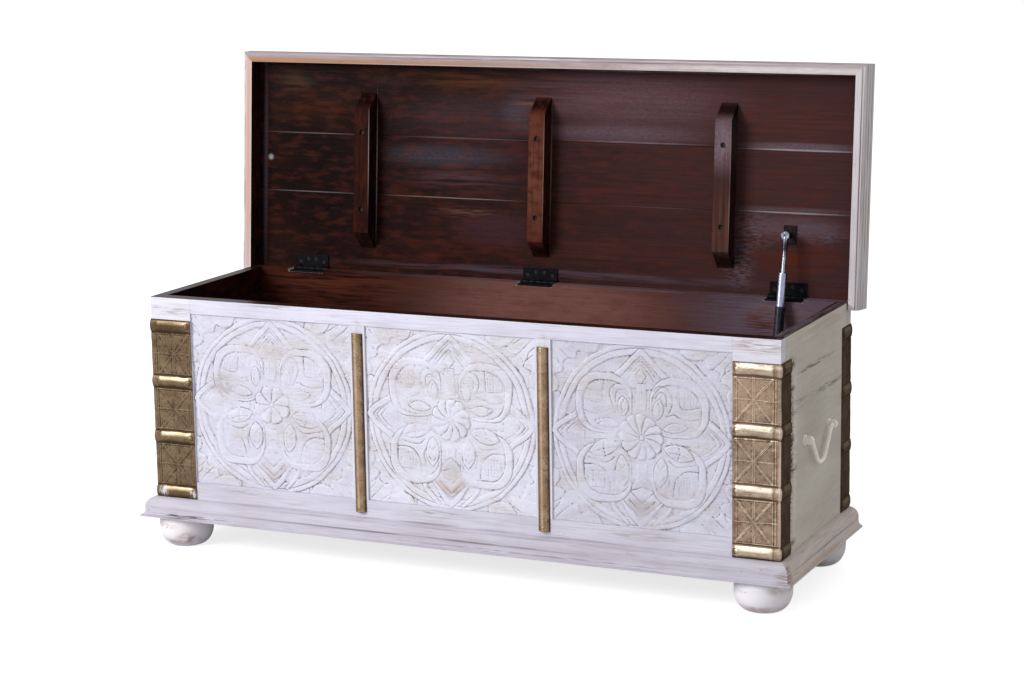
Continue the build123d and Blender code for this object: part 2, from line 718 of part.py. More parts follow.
sleeve = Pos(0, 0, sleeve_top - sleeve_l) * rod_along("Z", sleeve_r, sleeve_l)
sleeve_bore = Pos(0, 0, sleeve_top - 2 * sleeve_l) * rod_along("Z", sleeve_bore_r, 3 * sleeve_l)
parts["stay_sleeve"] = stay_placed(sleeve - sleeve_bore)

neck_z0 = reach_open - neck_l
piston_r = sleeve_bore_r - stay_fit
stay_rod = Pos(0, 0, sleeve_top - stay_lap) * rod_along("Z", rod_r, neck_z0 - sleeve_top + stay_lap)
piston = Pos(0, 0, sleeve_top - stay_lap) * rod_along("Z", piston_r, stay_lap)
neck = Pos(0, 0, neck_z0) * rod_along("Z", neck_r, neck_l)
cap = Pos(0, -cap_t, reach_open) * rod_along("Y", cap_r, cap_t)
ball = Pos(0, 0, reach_open) * Sphere(ball_r)
cap_hole = Pos(0, -cap_t - ball_r, reach_open) * rod_along("Y", cap_hole_r, cap_hole_d + ball_r)
parts["stay_rod"] = stay_placed(stay_rod + piston + neck + ball + cap - cap_hole)

# Lower bracket: a plate on the back board, two ears and the pin through the tube's lug
low_plate = block(
    stay_x - low_plate_w / 2, stay_x + low_plate_w / 2, board_front - plate_t, board_front,
    stay_low_z - low_plate_h / 2, stay_low_z + low_plate_h / 2,
)
ear_x = lug_t / 2 + ear_gap
low_bracket = low_plate
for x0, x1 in ((-ear_x - ear_t, -ear_x), (ear_x, ear_x + ear_t)):
    low_bracket = low_bracket + block(
        stay_x + x0, stay_x + x1, stay_low_y, board_front - plate_t,
        stay_low_z - ear_r, stay_low_z + ear_rise,
    )
    low_bracket = low_bracket + Pos(stay_x + x0, stay_low_y, stay_low_z) * rod_along("X", ear_r, ear_t)
low_pin_l = 2 * (ear_x + ear_t)
low_pin = Pos(stay_x - low_pin_l / 2, stay_low_y, stay_low_z) * rod_along("X", lug_pin_r, low_pin_l)
low_screws = [
    Pos(stay_x + sx * low_screw_dx, board_front - plate_t, stay_low_z + sz * low_screw_dz)
    * Rot(90, 0, 0)
    * screw(stay_screw_l, screw_r, screw_head_r, screw_head_h)
    for sx in (-1, 1)
    for sz in (-1, 1)
]
parts["stay_lower_bracket"] = minus(low_bracket, low_screws + [low_pin])
parts["stay_lower_pin"] = low_pin

# Upper stud: a plate under the lid with a short stud that ends just short of the rod's ball
stud_l = stay_up_off - ball_r - ball_gap
stud_plate = block(
    stay_x - up_plate_w / 2, stay_x + up_plate_w / 2,
    up_y_shut - up_plate_l / 2, up_y_shut + up_plate_l / 2, under_z - up_plate_t, under_z,
)
stud = Pos(stay_x, up_y_shut, under_z - stud_l) * rod_along("Z", stud_r, stud_l)
stud_screws = [
    Pos(stay_x, up_y_shut + s * up_screw_dl, under_z - up_plate_t)
    * Rot(180, 0, 0)
    * screw(stay_screw_l, screw_r, screw_head_r, screw_head_h)
    for s in (-1, 1)
]
parts["stay_upper_stud"] = opened(minus(stud_plate + stud, stud_screws))

lid_screws = batten_screws + upper_screws + stud_screws
parts["lid_screws"] = opened(group(lid_screws))
parts["carcass_screws"] = group(lower_screws + low_screws)
knuckle_pockets = [
    block(x - mortise_half, x + mortise_half, half_d, pin_y + knuckle_r + knuckle_room, under_z,
          pin_z + knuckle_r + knuckle_room)
    for x in hinge_places.values()
]
for place, plank in planks.items():
    parts["lid_plank_" + place] = opened(minus(plank, lid_screws + (knuckle_pockets if place == "back" else [])))
back_nail_holes = [piece for piece in back_nails if piece.center().Y > half_d - nail_l]
parts["back_board"] = minus(back_board, mortises + lower_screws + low_screws + back_nail_holes)


# ---- Write -------------------------------------------------------------------------------------------

os.makedirs("parts", exist_ok=True)
for name, shape in parts.items():
    export_step(shape, "parts/" + name + ".step")

print("nodes", len(parts))
print("hinge pin y z", round(pin_y, 4), round(pin_z, 4), "open angle", open_angle)
print("stay low", stay_low_y, stay_low_z, "tilt", round(stay_tilt, 4), "shut", round(stay_shut_tilt, 4))
print("reach", round(reach_open, 4), round(reach_shut, 4), "tube", round(tube_l, 4))
print("sleeve travel", round(sleeve_shown, 4), "rod travel", round(reach_open - reach_shut - sleeve_shown, 4))
print("handle x z", eye_x, handle_z, "under", under_z, "top", lid_top_z)
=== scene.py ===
import math

import bpy
import numpy as np
from mathutils import Matrix, Vector


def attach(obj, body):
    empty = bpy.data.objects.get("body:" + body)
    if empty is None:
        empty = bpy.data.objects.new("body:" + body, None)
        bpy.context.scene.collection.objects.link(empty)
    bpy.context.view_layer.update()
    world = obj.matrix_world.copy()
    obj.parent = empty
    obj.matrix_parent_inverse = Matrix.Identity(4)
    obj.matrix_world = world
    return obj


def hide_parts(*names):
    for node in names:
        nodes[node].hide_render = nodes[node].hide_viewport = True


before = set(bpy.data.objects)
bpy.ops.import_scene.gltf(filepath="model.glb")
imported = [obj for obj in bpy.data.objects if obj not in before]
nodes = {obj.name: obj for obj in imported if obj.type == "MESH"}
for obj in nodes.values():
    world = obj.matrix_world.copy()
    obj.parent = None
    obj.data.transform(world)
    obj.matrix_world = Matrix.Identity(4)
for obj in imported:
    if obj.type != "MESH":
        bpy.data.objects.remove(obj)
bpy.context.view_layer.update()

print("frame loaded:", len(nodes), "nodes")

# Every length below is in millimetres and is turned to metres where a mesh is made.
chest = {
    "frontFace": -185.0,  # Y of the rails' and stiles' face
    "halfWidth": 575.0,
    "pinY": 190.0,
    "pinZ": 443.4,
    "openAngle": 94.5,
}


def toLinear(code, alpha=1.0):
    # sRGB hex to linear: c / 12.92 below 0.04045, else ((c + 0.055) / 1.055) ^ 2.4
    values = [int(code[i:i + 2], 16) / 255 for i in (1, 3, 5)]
    return [v / 12.92 if v <= 0.04045 else ((v + 0.055) / 1.055) ** 2.4 for v in values] + [alpha]


def addNode(tree, kind, inputs=None, **settings):
    # one shader node: its settings, then each input as a value or as a link from another node's output
    node = tree.nodes.new("ShaderNode" + kind)
    for key, value in settings.items():
        setattr(node, key, value)
    for key, value in (inputs or {}).items():
        if isinstance(value, bpy.types.NodeSocket):
            tree.links.new(value, node.inputs[key])
        else:
            node.inputs[key].default_value = value
    return node


def smooth(low, high, value):
    # 0 below low, 1 above high, eased between: t * t * (3 - 2 t)
    t = np.clip((value - low) / (high - low), 0, 1)
    return t * t * (3 - 2 * t)


def handWobble(u, v, cell, seed):
    # value noise: random heights on a lattice of that cell, eased between its points, from -1 to 1
    rng = np.random.default_rng(seed)
    gu, gv = (u - u.min()) / cell, (v - v.min()) / cell
    iu, iv = np.floor(gu).astype(int), np.floor(gv).astype(int)
    table = rng.random((iu.max() + 2, iv.max() + 2)) * 2 - 1
    fu, fv = smooth(0, 1, gu - iu), smooth(0, 1, gv - iv)
    low = table[iu, iv] * (1 - fu) + table[iu + 1, iv] * fu
    high = table[iu, iv + 1] * (1 - fu) + table[iu + 1, iv + 1] * fu
    return low * (1 - fv) + high * fv


def blurred(field, reach):
    # a box mean of the field over 2 * reach + 1 cells each way, taken twice, with the edges repeated
    for _ in range(2):
        for axis in (0, 1):
            pad = [(reach + 1, reach) if a == axis else (0, 0) for a in (0, 1)]
            total = np.cumsum(np.pad(field, pad, mode="edge"), axis=axis)
            n = field.shape[axis]
            ahead = np.take(total, np.arange(2 * reach + 1, 2 * reach + 1 + n), axis=axis)
            field = (ahead - np.take(total, np.arange(n), axis=axis)) / (2 * reach + 1)
    return field


def makePiece(name, points, faces, replaced, values):
    # a carcass mesh from points in millimetres; values: numbers kept on its first points, 0 on the rest
    mesh = bpy.data.meshes.new(name)
    mesh.from_pydata(np.asarray(points) / 1000, [], faces)
    for key, numbers in values.items():
        kept = np.zeros(len(points), np.float32)
        kept[:numbers.size] = numbers.ravel()
        mesh.attributes.new(key, "FLOAT", "POINT").data.foreach_set("value", kept)
    mesh.polygons.foreach_set("use_smooth", np.ones(len(mesh.polygons), bool))
    mesh.update()
    piece = bpy.data.objects.new(name, mesh)
    bpy.context.scene.collection.objects.link(piece)
    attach(piece, "carcass")
    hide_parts(replaced)
    return piece


def gridFaces(rows, columns, start=0, flip=False):
    # quads of a grid stored row by row
    index = start + np.arange(rows * columns).reshape(rows, columns)
    quads = np.stack([index[:-1, :-1], index[:-1, 1:], index[1:, 1:], index[1:, :-1]], -1).reshape(-1, 4)
    return quads[:, ::-1] if flip else quads


def rimLoop(rows, columns):
    # the grid's outer points in order: along the first row, up, back along the last row and down
    index = np.arange(rows * columns).reshape(rows, columns)
    return np.concatenate([index[0, :-1], index[:-1, -1], index[-1, :0:-1], index[:0:-1, 0]])


def stitched(loopA, loopB):
    # quads between two closed loops of points
    return np.stack([loopA, loopB, np.roll(loopB, -1), np.roll(loopA, -1)], -1)


# The panels are carved in low relief: a great ring, four lobes with leaves in it, pointed forms between them,
# a rosette in the middle and leaves in the corners. X and Z below run from a panel's middle.
carving = {
    "width": 312.0,
    "height": 300.0,
    "midZ": 270.0,
    "ground": -178.0,  # Y of the CAD panel's ground
    "back": -166.0,
    "tongue": (6.0, -175.0, -169.0),  # reach into the frame, front and back
    "step": 1.06,
    "field": 2.7,  # height of the cut-back ground
    "ringOut": 154.0,
    "tallest": 5.4,
    "stainPath": [(-1, -127), (21, -107)],  # half of the V of old stain at a panel's foot
    "stainHalf": 11.0,
    "stainCloud": (-96.0, 34.0),  # its paler cloud: height of the middle and radius
}
panelKinds = {
    "left": {"x": -340.0, "petals": 8, "petalOut": 34.0, "swirl": 0.1, "round": 1.0, "seed": 11, "stain": 0.4,
             "tone": "#F2F2F6"},
    "centre": {"x": 0.0, "petals": 11, "petalOut": 36.0, "swirl": 0.5, "round": 0.6, "seed": 23, "stain": 0.7,
               "tone": "#FDFDFF"},
    "right": {"x": 340.0, "petals": 12, "petalOut": 38.0, "swirl": 0.3, "round": 0.5, "seed": 37,
              "stain": 0.3, "tone": "#EAE9ED"},
}
# leaves: middle x and z, half length, half width, turn in degrees; plates: middle and half sizes
upperLobe = {
    "shell": (65, 52, 49.5, 41), "hole": (60, 48, 41.5, 35),
    "leaves": [(30, 49, 17, 9, 84), (57, 20, 21, 8.5, 8)],
    "plate": (82, 72, 15, 14),
    "under": [
        [(20, 74), (28, 84), (40, 86), (50, 79), (54, 66), (50, 52), (44, 40)],
        [(25, 67), (31, 75), (39, 75), (44, 67), (43, 55)],
        [(43, 38), (54, 43), (64, 38), (80, 34), (98, 37)],
        [(64, 89), (65, 72), (67, 55), (82, 53), (98, 56)],
    ],
    "over": [[(70, 22), (75, 27), (80, 22), (75, 17), (70, 22)], [(30, 60), (33, 48), (29, 37)]],
}
lowerLobe = {
    "shell": (65, 63, 47.5, 37), "hole": (60, 58, 39.5, 31),
    "leaves": [(33, 56, 25, 12.5, 92), (64, 22, 27, 12.5, 14)],
    "plate": (79, 74, 14, 13),
    "under": [[(98, 50), (80, 50), (66, 57), (57, 72), (53, 94)], [(47, 36), (58, 44), (75, 43), (94, 38)]],
    "over": [
        [(28, 46), (33, 52), (39, 46)], [(27, 66), (33, 71), (40, 65)], [(62, 9), (66, 20), (63, 33)],
        [(47, 22), (64, 24), (82, 29)], [(44, 50), (49, 62), (46, 78)],
    ],
}
cornerLeaf = [(158, 62), (147, 68), (144, 82), (150, 93), (136, 100), (134, 114), (124, 121), (113, 121),
              (108, 134), (92, 131), (76, 136), (68, 152)]
cornerVeins = [[(150, 146), (134, 130), (122, 119)], [(152, 120), (140, 112), (134, 102)],
               [(118, 148), (112, 139), (104, 131)], [(66, 153), (66, 138), (70, 126)],
               [(158, 64), (146, 66), (138, 60)], [(156, 134), (145, 124), (142, 112)],
               [(134, 150), (122, 142), (112, 136)]]


def curve(points, count):
    # Catmull-Rom: between two points the cubic through both, its slopes from the points on either side
    p = np.array(points, float)
    p = np.vstack([2 * p[0] - p[1], p, 2 * p[-1] - p[-2]])
    t = np.linspace(0, 1, count, endpoint=False)[:, None]
    runs = [0.5 * (2 * b + (c - a) * t + (2 * a - 5 * b + 4 * c - d) * t**2 + (3 * b - a - 3 * c + d) * t**3)
            for a, b, c, d in zip(p[:-3], p[1:-2], p[2:-1], p[3:])]
    return np.vstack(runs + [p[-2:-1]])


def layForm(field, distance, top, edge=1.9, cut=1.3, depth=1.9):
    # inside (distance < 0) the form rises from top - depth to top over edge as a quarter ellipse,
    # outside a groove of width cut falls to top - depth at the form's foot
    foot = top - depth
    rise = np.clip(-distance / edge, 0, 1)
    inside = foot + depth * np.sqrt(1 - (1 - rise) ** 2)
    outside = np.minimum(field, foot + np.maximum(field - foot, 0) * smooth(0, cut, distance))
    return np.where(distance < 0, inside, outside)


def leafDistance(x, z, half, width):
    # pointed oval: the overlap of two circles of radius (half^2 + width^2) / (2 width), length along x
    radius = (half**2 + width**2) / (2 * width)
    offset = radius - width
    return np.maximum(np.hypot(x, z - offset), np.hypot(x, z + offset)) - radius


def softSquare(x, z, half, corner):
    # rounded square: distance to a square of half - corner, less the corner radius
    dx, dz = np.abs(x) - (half - corner), np.abs(z) - (half - corner)
    return np.hypot(np.maximum(dx, 0), np.maximum(dz, 0)) + np.minimum(np.maximum(dx, dz), 0) - corner


def pathDistance(x, z, points):
    # distance to a run of straight lines: for each line the nearest point p + t (q - p), t held to 0..1
    best = np.full(x.shape, 1e9)
    for (px, pz), (qx, qz) in zip(points[:-1], points[1:]):
        dx, dz = qx - px, qz - pz
        t = np.clip(((x - px) * dx + (z - pz) * dz) / (dx * dx + dz * dz), 0, 1)
        best = np.minimum(best, np.hypot(x - px - t * dx, z - pz - t * dz))
    return best


def shapeDistance(x, z, points):
    # distance to a closed outline, negative inside: inside, a line to the right crosses an odd number of sides
    closed = list(points) + [points[0]]
    odd = np.zeros(x.shape, bool)
    for (px, pz), (qx, qz) in zip(closed[:-1], closed[1:]):
        if pz != qz:
            odd ^= ((pz > z) != (qz > z)) & (x < px + (z - pz) * (qx - px) / (qz - pz))
    return np.where(odd, -1, 1) * pathDistance(x, z, closed)


def hatch(u, v, pitch, seed):
    # gouge strokes along u, pitch apart over v, uneven in depth and spacing
    bent = v + 0.35 * pitch * handWobble(u, v, 4 * pitch, seed)
    stroke = (0.5 - 0.5 * np.cos(2 * math.pi * bent / pitch)) ** 2
    return stroke * (0.6 + 0.4 * handWobble(u * 0.3, v, pitch, seed + 1))


def scored(h, distance, width, depth):
    # a knife line: depth * exp(-(distance / width)^2) cut from the height
    return h - depth * np.exp(-((distance / width) ** 2))


def cornerForms(h, at):
    # a lobed leaf in each corner with its veins, then the ring: two bands of unequal width
    leaf = shapeDistance(at["ax"], at["az"], curve(cornerLeaf, 4).tolist() + [(160, 152)])
    h = layForm(h, leaf, 4.0, edge=2.0, cut=1.2, depth=1.3)
    for vein in cornerVeins:
        h = scored(h, pathDistance(at["ax"], at["az"], curve(vein, 4)), 1.0, 1.5 * at["bite"])
    h = layForm(h, at["radius"] - carving["ringOut"] + 2, 3.2, edge=1.0, cut=0.8, depth=0.6)
    h = layForm(h, np.abs(at["radius"] - 150.0) - 4.0, 4.4, edge=1.8, cut=1.4, depth=1.5)
    return layForm(h, np.abs(at["radius"] - 140.5) - 5.2, 4.7, edge=2.4, cut=1.2, depth=1.5)


def pointedForms(h, at, seed):
    # at each side a hatched arrow head: an outline from its tip out to its foot, a raised rim and two chevrons
    x, z, bite = at["x"], at["z"], at["bite"]
    for across, along, tip, foot in ((x, z, 141, 108), (x, -z, 143, 104), (z, x, 149, 112), (z, -x, 152, 110)):
        spread = np.abs(across)
        rim = [(0, tip), (14, tip - 13), (30, foot + 3), (42, foot - 8)]
        flat = shapeDistance(spread, along, [(-1, tip)] + rim[1:] + [(30, foot - 26), (-1, foot - 30)])
        h = layForm(h, flat, 4.2, edge=1.6, cut=1.3, depth=1.2)
        strokes = hatch(along + spread * 0.9, along - spread * 0.9 + 0.3 * across, 4.6, seed + 8)
        h = h - 0.55 * strokes * (flat < -2)
        h = layForm(h, pathDistance(spread, along, curve(rim, 4)) - 5.0, 4.8, edge=2.2, cut=1.4, depth=1.6)
        for inset in (13, 22):
            chevron = curve([(0, tip - inset), (12, tip - inset - 11), (24, foot + 7 - inset)], 4)
            h = scored(h, pathDistance(spread, along, chevron), 1.1, 1.4 * bite)
        if along is z:
            bud = shapeDistance(spread, along, [(-1, foot + 7), (10, foot - 8), (-1, foot - 22)])
            h = layForm(h, bud, 4.8, edge=2.2, depth=1.5)
    for along, across, middle, half, seedShift in ((x, z, 70, 27, 9), (z, x, 66, 22, 10)):
        stem = np.maximum(np.abs(across) - 9, np.abs(np.abs(along) - middle) - half)
        h = layForm(h, stem, 4.1, edge=1.2, cut=1.0, depth=1.0)
        h = h - 0.6 * hatch(along, across, 4.2, seed + seedShift) * (stem < 0)
    # the foot's diamond between two heart-shaped lobes
    diamond = [(-1, 62), (20, 82), (36, 101), (18, 118), (-1, 132)]
    h = layForm(h, shapeDistance(at["ax"], -z, diamond), 4.4, edge=1.6, depth=1.6)
    for vee in ([(0, 82), (22, 88)], [(0, 108), (22, 88)], [(0, 124), (22, 104)]):
        h = scored(h, pathDistance(at["ax"], -z, vee), 1.1, 1.6 * bite)
    heart = curve([(38, 101), (49, 108), (46, 121), (34, 133), (22, 143)], 4)
    return layForm(h, pathDistance(at["ax"], -z, heart) - 3.4, 4.7, edge=1.8, cut=1.3, depth=1.4)


def lobe(h, at, v, forms, seed):
    # a rounded shell with a sunk hole, its hatched plate, knife lines and two leaves
    ax, bite = at["ax"], at["bite"]
    (shellX, shellZ, *shellSize), (holeX, holeZ, *holeSize) = forms["shell"], forms["hole"]
    hole = softSquare(ax - holeX, v - holeZ, *holeSize)
    g = layForm(h, softSquare(ax - shellX, v - shellZ, *shellSize), 4.8, edge=2.6, cut=1.5, depth=1.8)
    g = scored(g - 0.8 * smooth(1.5, -1.5, hole), hole, 1.2, 1.5 * bite)
    plateX, plateZ, halfX, halfZ = forms["plate"]
    plate = np.maximum(np.maximum(np.abs(ax - plateX) - halfX, np.abs(v - plateZ) - halfZ), hole + 2)
    g = layForm(g, plate, 4.4, edge=1.4, cut=1.1, depth=1.0)
    g = g - 0.8 * hatch(v, ax, 5.2, seed + 11) * (plate < -1)
    for points in forms["under"]:
        g = scored(g, pathDistance(ax, v, curve(points, 5)), 1.15, 1.5 * bite)
    for leafX, leafZ, half, wide, turn in forms["leaves"]:
        angle = math.radians(turn + 5 * math.sin(seed + leafX))
        du, dv = ax - leafX, v - leafZ
        along = du * math.cos(angle) + dv * math.sin(angle)
        across = dv * math.cos(angle) - du * math.sin(angle)
        leaf = leafDistance(along, across, half, wide)
        g = layForm(g, leaf, 5.0, edge=3.4, cut=1.4, depth=1.9)
        g = np.where(leaf < -1.5, scored(g, np.abs(leaf + 4.6), 0.9, 0.7 * bite), g)
    for points in forms["over"]:
        g = scored(g, pathDistance(ax, v, curve(points, 5)), 1.0, 1.4 * bite)
    return np.where(v > 0, g, h)


def rosette(h, at, kind):
    # a disc whose edge is scalloped by the petals, split by swirled cuts, with a button in the middle
    petals, out, radius = kind["petals"], kind["petalOut"], at["radius"]
    angle = np.arctan2(at["z"], at["x"]) + kind["swirl"] * radius / out
    turnPart = (angle * petals / (2 * math.pi)) % 1 - 0.5
    gap = np.abs(np.abs(turnPart) - 0.5) * 2 * math.pi * radius / petals
    scallop = out - kind["round"] * out * 0.24 * (1 - np.sqrt(np.clip(1 - (2 * turnPart) ** 2, 0, 1)))
    h = layForm(h, radius - scallop, 5.1, edge=3.2, cut=1.7, depth=1.8)
    inside = radius < scallop
    h -= 1.5 * at["bite"] * np.exp(-((gap / 1.1) ** 2)) * inside * smooth(3, 8, radius)
    h -= 0.175 * (1 - np.cos(turnPart * 2 * math.pi)) * inside
    return layForm(h, radius - 4.5, 4.8, edge=3.0, cut=1.3, depth=1.3)


def carveField(x, z, kind):
    # the relief's height over the ground plane, built from the lowest form to the highest
    seed = kind["seed"]
    wx = x + 2.0 * handWobble(x, z, 46, seed) + 0.8 * handWobble(x, z, 13, seed + 1)
    wz = z + 2.0 * handWobble(x, z, 46, seed + 2) + 0.8 * handWobble(x, z, 13, seed + 3)
    at = {"x": wx, "z": wz, "ax": np.abs(wx), "az": np.abs(wz), "radius": np.hypot(wx, wz),
          "bite": 0.58 + 0.42 * handWobble(x, z, 24, seed + 4)}  # how deep the knife went, place by place
    h = carving["field"] + 0.3 * handWobble(x, z, 7, seed + 5)
    h = pointedForms(cornerForms(h, at), at, seed)
    h = lobe(h, at, wz, upperLobe, seed)
    h = lobe(h, at, -wz, lowerLobe, seed)
    h = rosette(h, at, kind)
    clogged = smooth(-0.15, 0.6, handWobble(x, z, 27, seed + 12))  # where old paint fills the cuts
    h += 0.7 * clogged * (blurred(h, 2) - h)
    h += 0.2 * handWobble(x, z, 3.2, seed + 6) + 0.2 * handWobble(x + z, (x - z) * 0.25, 2.4, seed + 7)
    h += 0.35 * handWobble(x * 0.5, z, 10, seed + 13)
    return np.clip(h, 0.25, carving["tallest"])


def carvedPanel(place, kind):
    # front: y = ground - height(x, z) on an even grid; sides: the grid's rim carried back in rings;
    # the V of stain is kept on the points as a number from 0 to 1
    d = carving
    columns, rows = int(d["width"] / d["step"]) + 1, int(d["height"] / d["step"]) + 1
    x, z = np.meshgrid(np.linspace(-0.5, 0.5, columns) * d["width"], np.linspace(-0.5, 0.5, rows) * d["height"])
    h = carveField(x, z, kind)
    cloudZ, cloudOut = d["stainCloud"]
    cloud = smooth(cloudOut, 8, np.hypot(x, z - cloudZ))
    stained = smooth(d["stainHalf"], 1, pathDistance(np.abs(x), z, d["stainPath"])) + 0.3 * cloud
    values = {"groove": np.clip((blurred(h, 2) - h) / 0.7, 0, 1),
              "crest": np.clip((h - blurred(h, 4)) / 0.8, 0, 1),
              "stain": kind["stain"] * stained}
    front = np.stack([x + kind["x"], d["ground"] - h, z + d["midZ"]], -1).reshape(-1, 3)
    loop = rimLoop(rows, columns)
    points, faces, last, count = [front], gridFaces(rows, columns).tolist(), loop, len(front)
    reach, near, far = d["tongue"]
    for out, y in ((0, near), (reach, near), (reach, far), (0, far), (0, d["back"])):
        ring = front[loop].copy()
        ring[:, 0] = kind["x"] + (ring[:, 0] - kind["x"]) * (1 + 2 * out / d["width"])
        ring[:, 1] = y
        ring[:, 2] = d["midZ"] + (ring[:, 2] - d["midZ"]) * (1 + 2 * out / d["height"])
        index = count + np.arange(len(loop))
        points.append(ring)
        faces += stitched(last, index).tolist()
        count += len(loop)
        last = index
    points.append(np.array([[kind["x"], d["back"], d["midZ"]]]))
    faces += np.stack([last, np.full(len(last), count), np.roll(last, -1)], -1).tolist()
    return makePiece("carvedRelief_" + place, np.concatenate(points), faces,
                     "carved_panel_" + place, values)


def closedSheet(rows, columns, flip=False):
    # faces of a front grid and, after its points, a back grid, with a wall between their rims
    count, loop = rows * columns, rimLoop(rows, columns)
    walls = stitched(loop, loop + count)
    return np.concatenate([gridFaces(rows, columns, 0, flip), gridFaces(rows, columns, count, not flip),
                           walls[:, ::-1] if flip else walls])


# Brass sheet folded round each corner, with half-round bands and pressed eight-ray stars between them.
cornerSheet = {
    "front": 79.0,
    "side": 49.0,
    "thick": 1.2,
    "z": (89.0, 407.0),
    "bandZ": (100.0, 198.67, 297.33, 396.0),
    "bandTall": 22.0,
    "bandProud": 3.5,
    "step": 1.15,
    "starShift": -4.0,  # the stars sit a little toward the panel
    "starHalf": 33.0,  # a slanted ray's reach sideways
    "rayHalfGap": (1.4, 1.1),  # between a double ray's lines, upright and slanted
    "rib": 0.62,
    "ribHalf": 0.75,
    "outerBorder": (6.5, 0.4),  # a raised line's distance from the edge and its height
    "foldBorders": [(7.5, 0.5), (12.0, 0.35)],
    "nail": (7.0, 4.2),  # its middle from the edge, its radius
}


def ridge(distance, height):
    # a raised line: height * exp(-(d / half)^2), with a pressed line at each side
    half = cornerSheet["ribHalf"]
    lift = height * np.exp(-((distance / half) ** 2))
    return lift - 0.55 * height * np.exp(-(((np.abs(distance) - 2.1 * half) / (0.8 * half)) ** 2))


def sheetHeight(s, z, seed):
    # height over the flat sheet at distance s from the fold, front leg negative and side leg positive
    d = cornerSheet
    onFront = s < 0
    inner = np.where(onFront, s + d["front"], d["side"] - s)
    outer = np.abs(s)
    wide = np.where(onFront, d["front"], d["side"])
    h = 0.28 * handWobble(s, z, 15, seed) + 0.14 * handWobble(s, z, 4.5, seed + 1)
    middle = np.where(onFront, -d["front"] / 2 + d["starShift"], d["side"] / 2)
    s2, z2 = s + 0.9 * handWobble(s, z, 21, seed + 2), z + 0.9 * handWobble(s, z, 21, seed + 3)
    (upright, slanted), (nailIn, nailOut) = d["rayHalfGap"], d["nail"]
    borderIn, borderTall = d["outerBorder"]
    for low, high in zip(d["bandZ"][:-1], d["bandZ"][1:]):
        midZ = (low + high) / 2
        tall = (high - low - d["bandTall"]) / 2
        inside = smooth(tall + 1, tall - 1, np.abs(z - midZ))
        inside = inside * smooth(2.0, 4.0, inner) * smooth(3.0, 5.0, outer)
        across, up = s2 - middle, z2 - midZ
        star = np.maximum(ridge(up, d["rib"]), ridge(np.abs(across) - upright, d["rib"]))
        slope = math.atan2(tall, d["starHalf"])
        for turn in (slope, -slope):
            line = across * math.sin(turn) - up * math.cos(turn)
            star = np.maximum(star, ridge(np.abs(line) - slanted, d["rib"]))
        edge = ridge(np.minimum(inner, wide) - borderIn, borderTall)
        for away, borderUp in d["foldBorders"]:
            edge += ridge(outer - away, borderUp)
        h += inside * (np.where(onFront, star, 0) + edge + ridge(np.abs(z - midZ) - tall + 3.0, 0.5))
    for number, bandZ in enumerate(d["bandZ"]):
        bow = 1.3 * ((s - middle) / (wide / 2)) ** 2
        dz = z - bandZ + bow * (0.8 if number else 0.3) + 0.5 * handWobble(s, z, 18, seed + 5)
        half = d["bandTall"] / 2
        radius = (half**2 + d["bandProud"] ** 2) / (2 * d["bandProud"])
        arch = np.sqrt(np.clip(radius**2 - dz**2, 0, None)) - (radius - d["bandProud"])
        ends = 1 - 0.5 * smooth(9, 3, inner) - 0.45 * smooth(15, 9, outer)
        nail = 0.5 * np.exp(-(((np.hypot(inner - nailIn, dz) - nailOut) / 0.8) ** 2))
        h = np.where(np.abs(dz) < half, np.maximum(h * 0.3, arch * ends - nail), h)
        h -= 0.5 * np.exp(-(((np.abs(dz) - half - 0.8) / 1.0) ** 2))
    return np.clip(h, -0.7, d["bandProud"] - 0.05)


def wearAndPaintedLightOf(h, step, reach):
    # groove: where the height dips below its blurred self or faces down; crest: where it is proud or faces up
    slope = np.gradient(h, step, axis=0) / 0.55
    dip = (blurred(h, reach) - h) / 0.3
    band = smooth(0.8, 2.2, h)  # 1 on the half-round bands, whose upper side gets the strongest painted highlight
    proud, up = np.clip(-dip, 0, 1), np.clip(-slope, 0, 1)
    # painted light: groove adds a painted shade on downward-facing slopes to the patina in the hollows, and
    # crest adds a painted highlight on upward-facing slopes to the rubbed polish on proud places
    return {"groove": np.clip(np.clip(dip, 0, 1) + 0.95 * np.clip(slope, 0, 1), 0, 1),
            "crest": np.clip(proud * (0.42 - 0.07 * band) + up * (0.28 + 0.9 * band), 0, 1)}


def brassCorner(name, signX, signY, seed):
    # a sheet folded round the corner: point = P(s) + n(s) (thick + height), n turning at the fold
    d = cornerSheet
    front = np.linspace(-d["front"], 0, int(d["front"] / d["step"]) + 1)
    side = np.linspace(0, d["side"], int(d["side"] / d["step"]) + 1)
    fold = np.linspace(0, math.pi / 2, 6)[1:-1]
    s = np.concatenate([front, np.zeros(len(fold)), side])
    turn = np.concatenate([np.zeros(len(front)), fold, np.full(len(side), math.pi / 2)])
    base = np.stack([chest["halfWidth"] + np.minimum(s, 0), chest["frontFace"] + np.maximum(s, 0)], -1)
    normal = np.stack([np.sin(turn), -np.cos(turn)], -1)
    rows, columns = int((d["z"][1] - d["z"][0]) / d["step"]) + 1, len(s)
    sGrid, zGrid = np.meshgrid(s, np.linspace(*d["z"], rows))
    h = sheetHeight(sGrid, zGrid, seed)
    sheets = []
    for offset in (d["thick"] + h, np.full(h.shape, 0.06)):
        xy = (base[None] + normal[None] * offset[..., None]) * (signX, signY)
        sheets.append(np.concatenate([xy, zGrid[..., None]], -1).reshape(-1, 3))
    faces = closedSheet(rows, columns, signX * signY < 0)
    return makePiece("brassSheet_" + name, np.concatenate(sheets), faces, "corner_brass_" + name,
                     wearAndPaintedLightOf(h, d["step"], 3))


strip = {"x": 170.0, "wide": 21.0, "proud": 7.0, "z": (99.0, 407.0), "step": 1.6, "bead": 7.0}


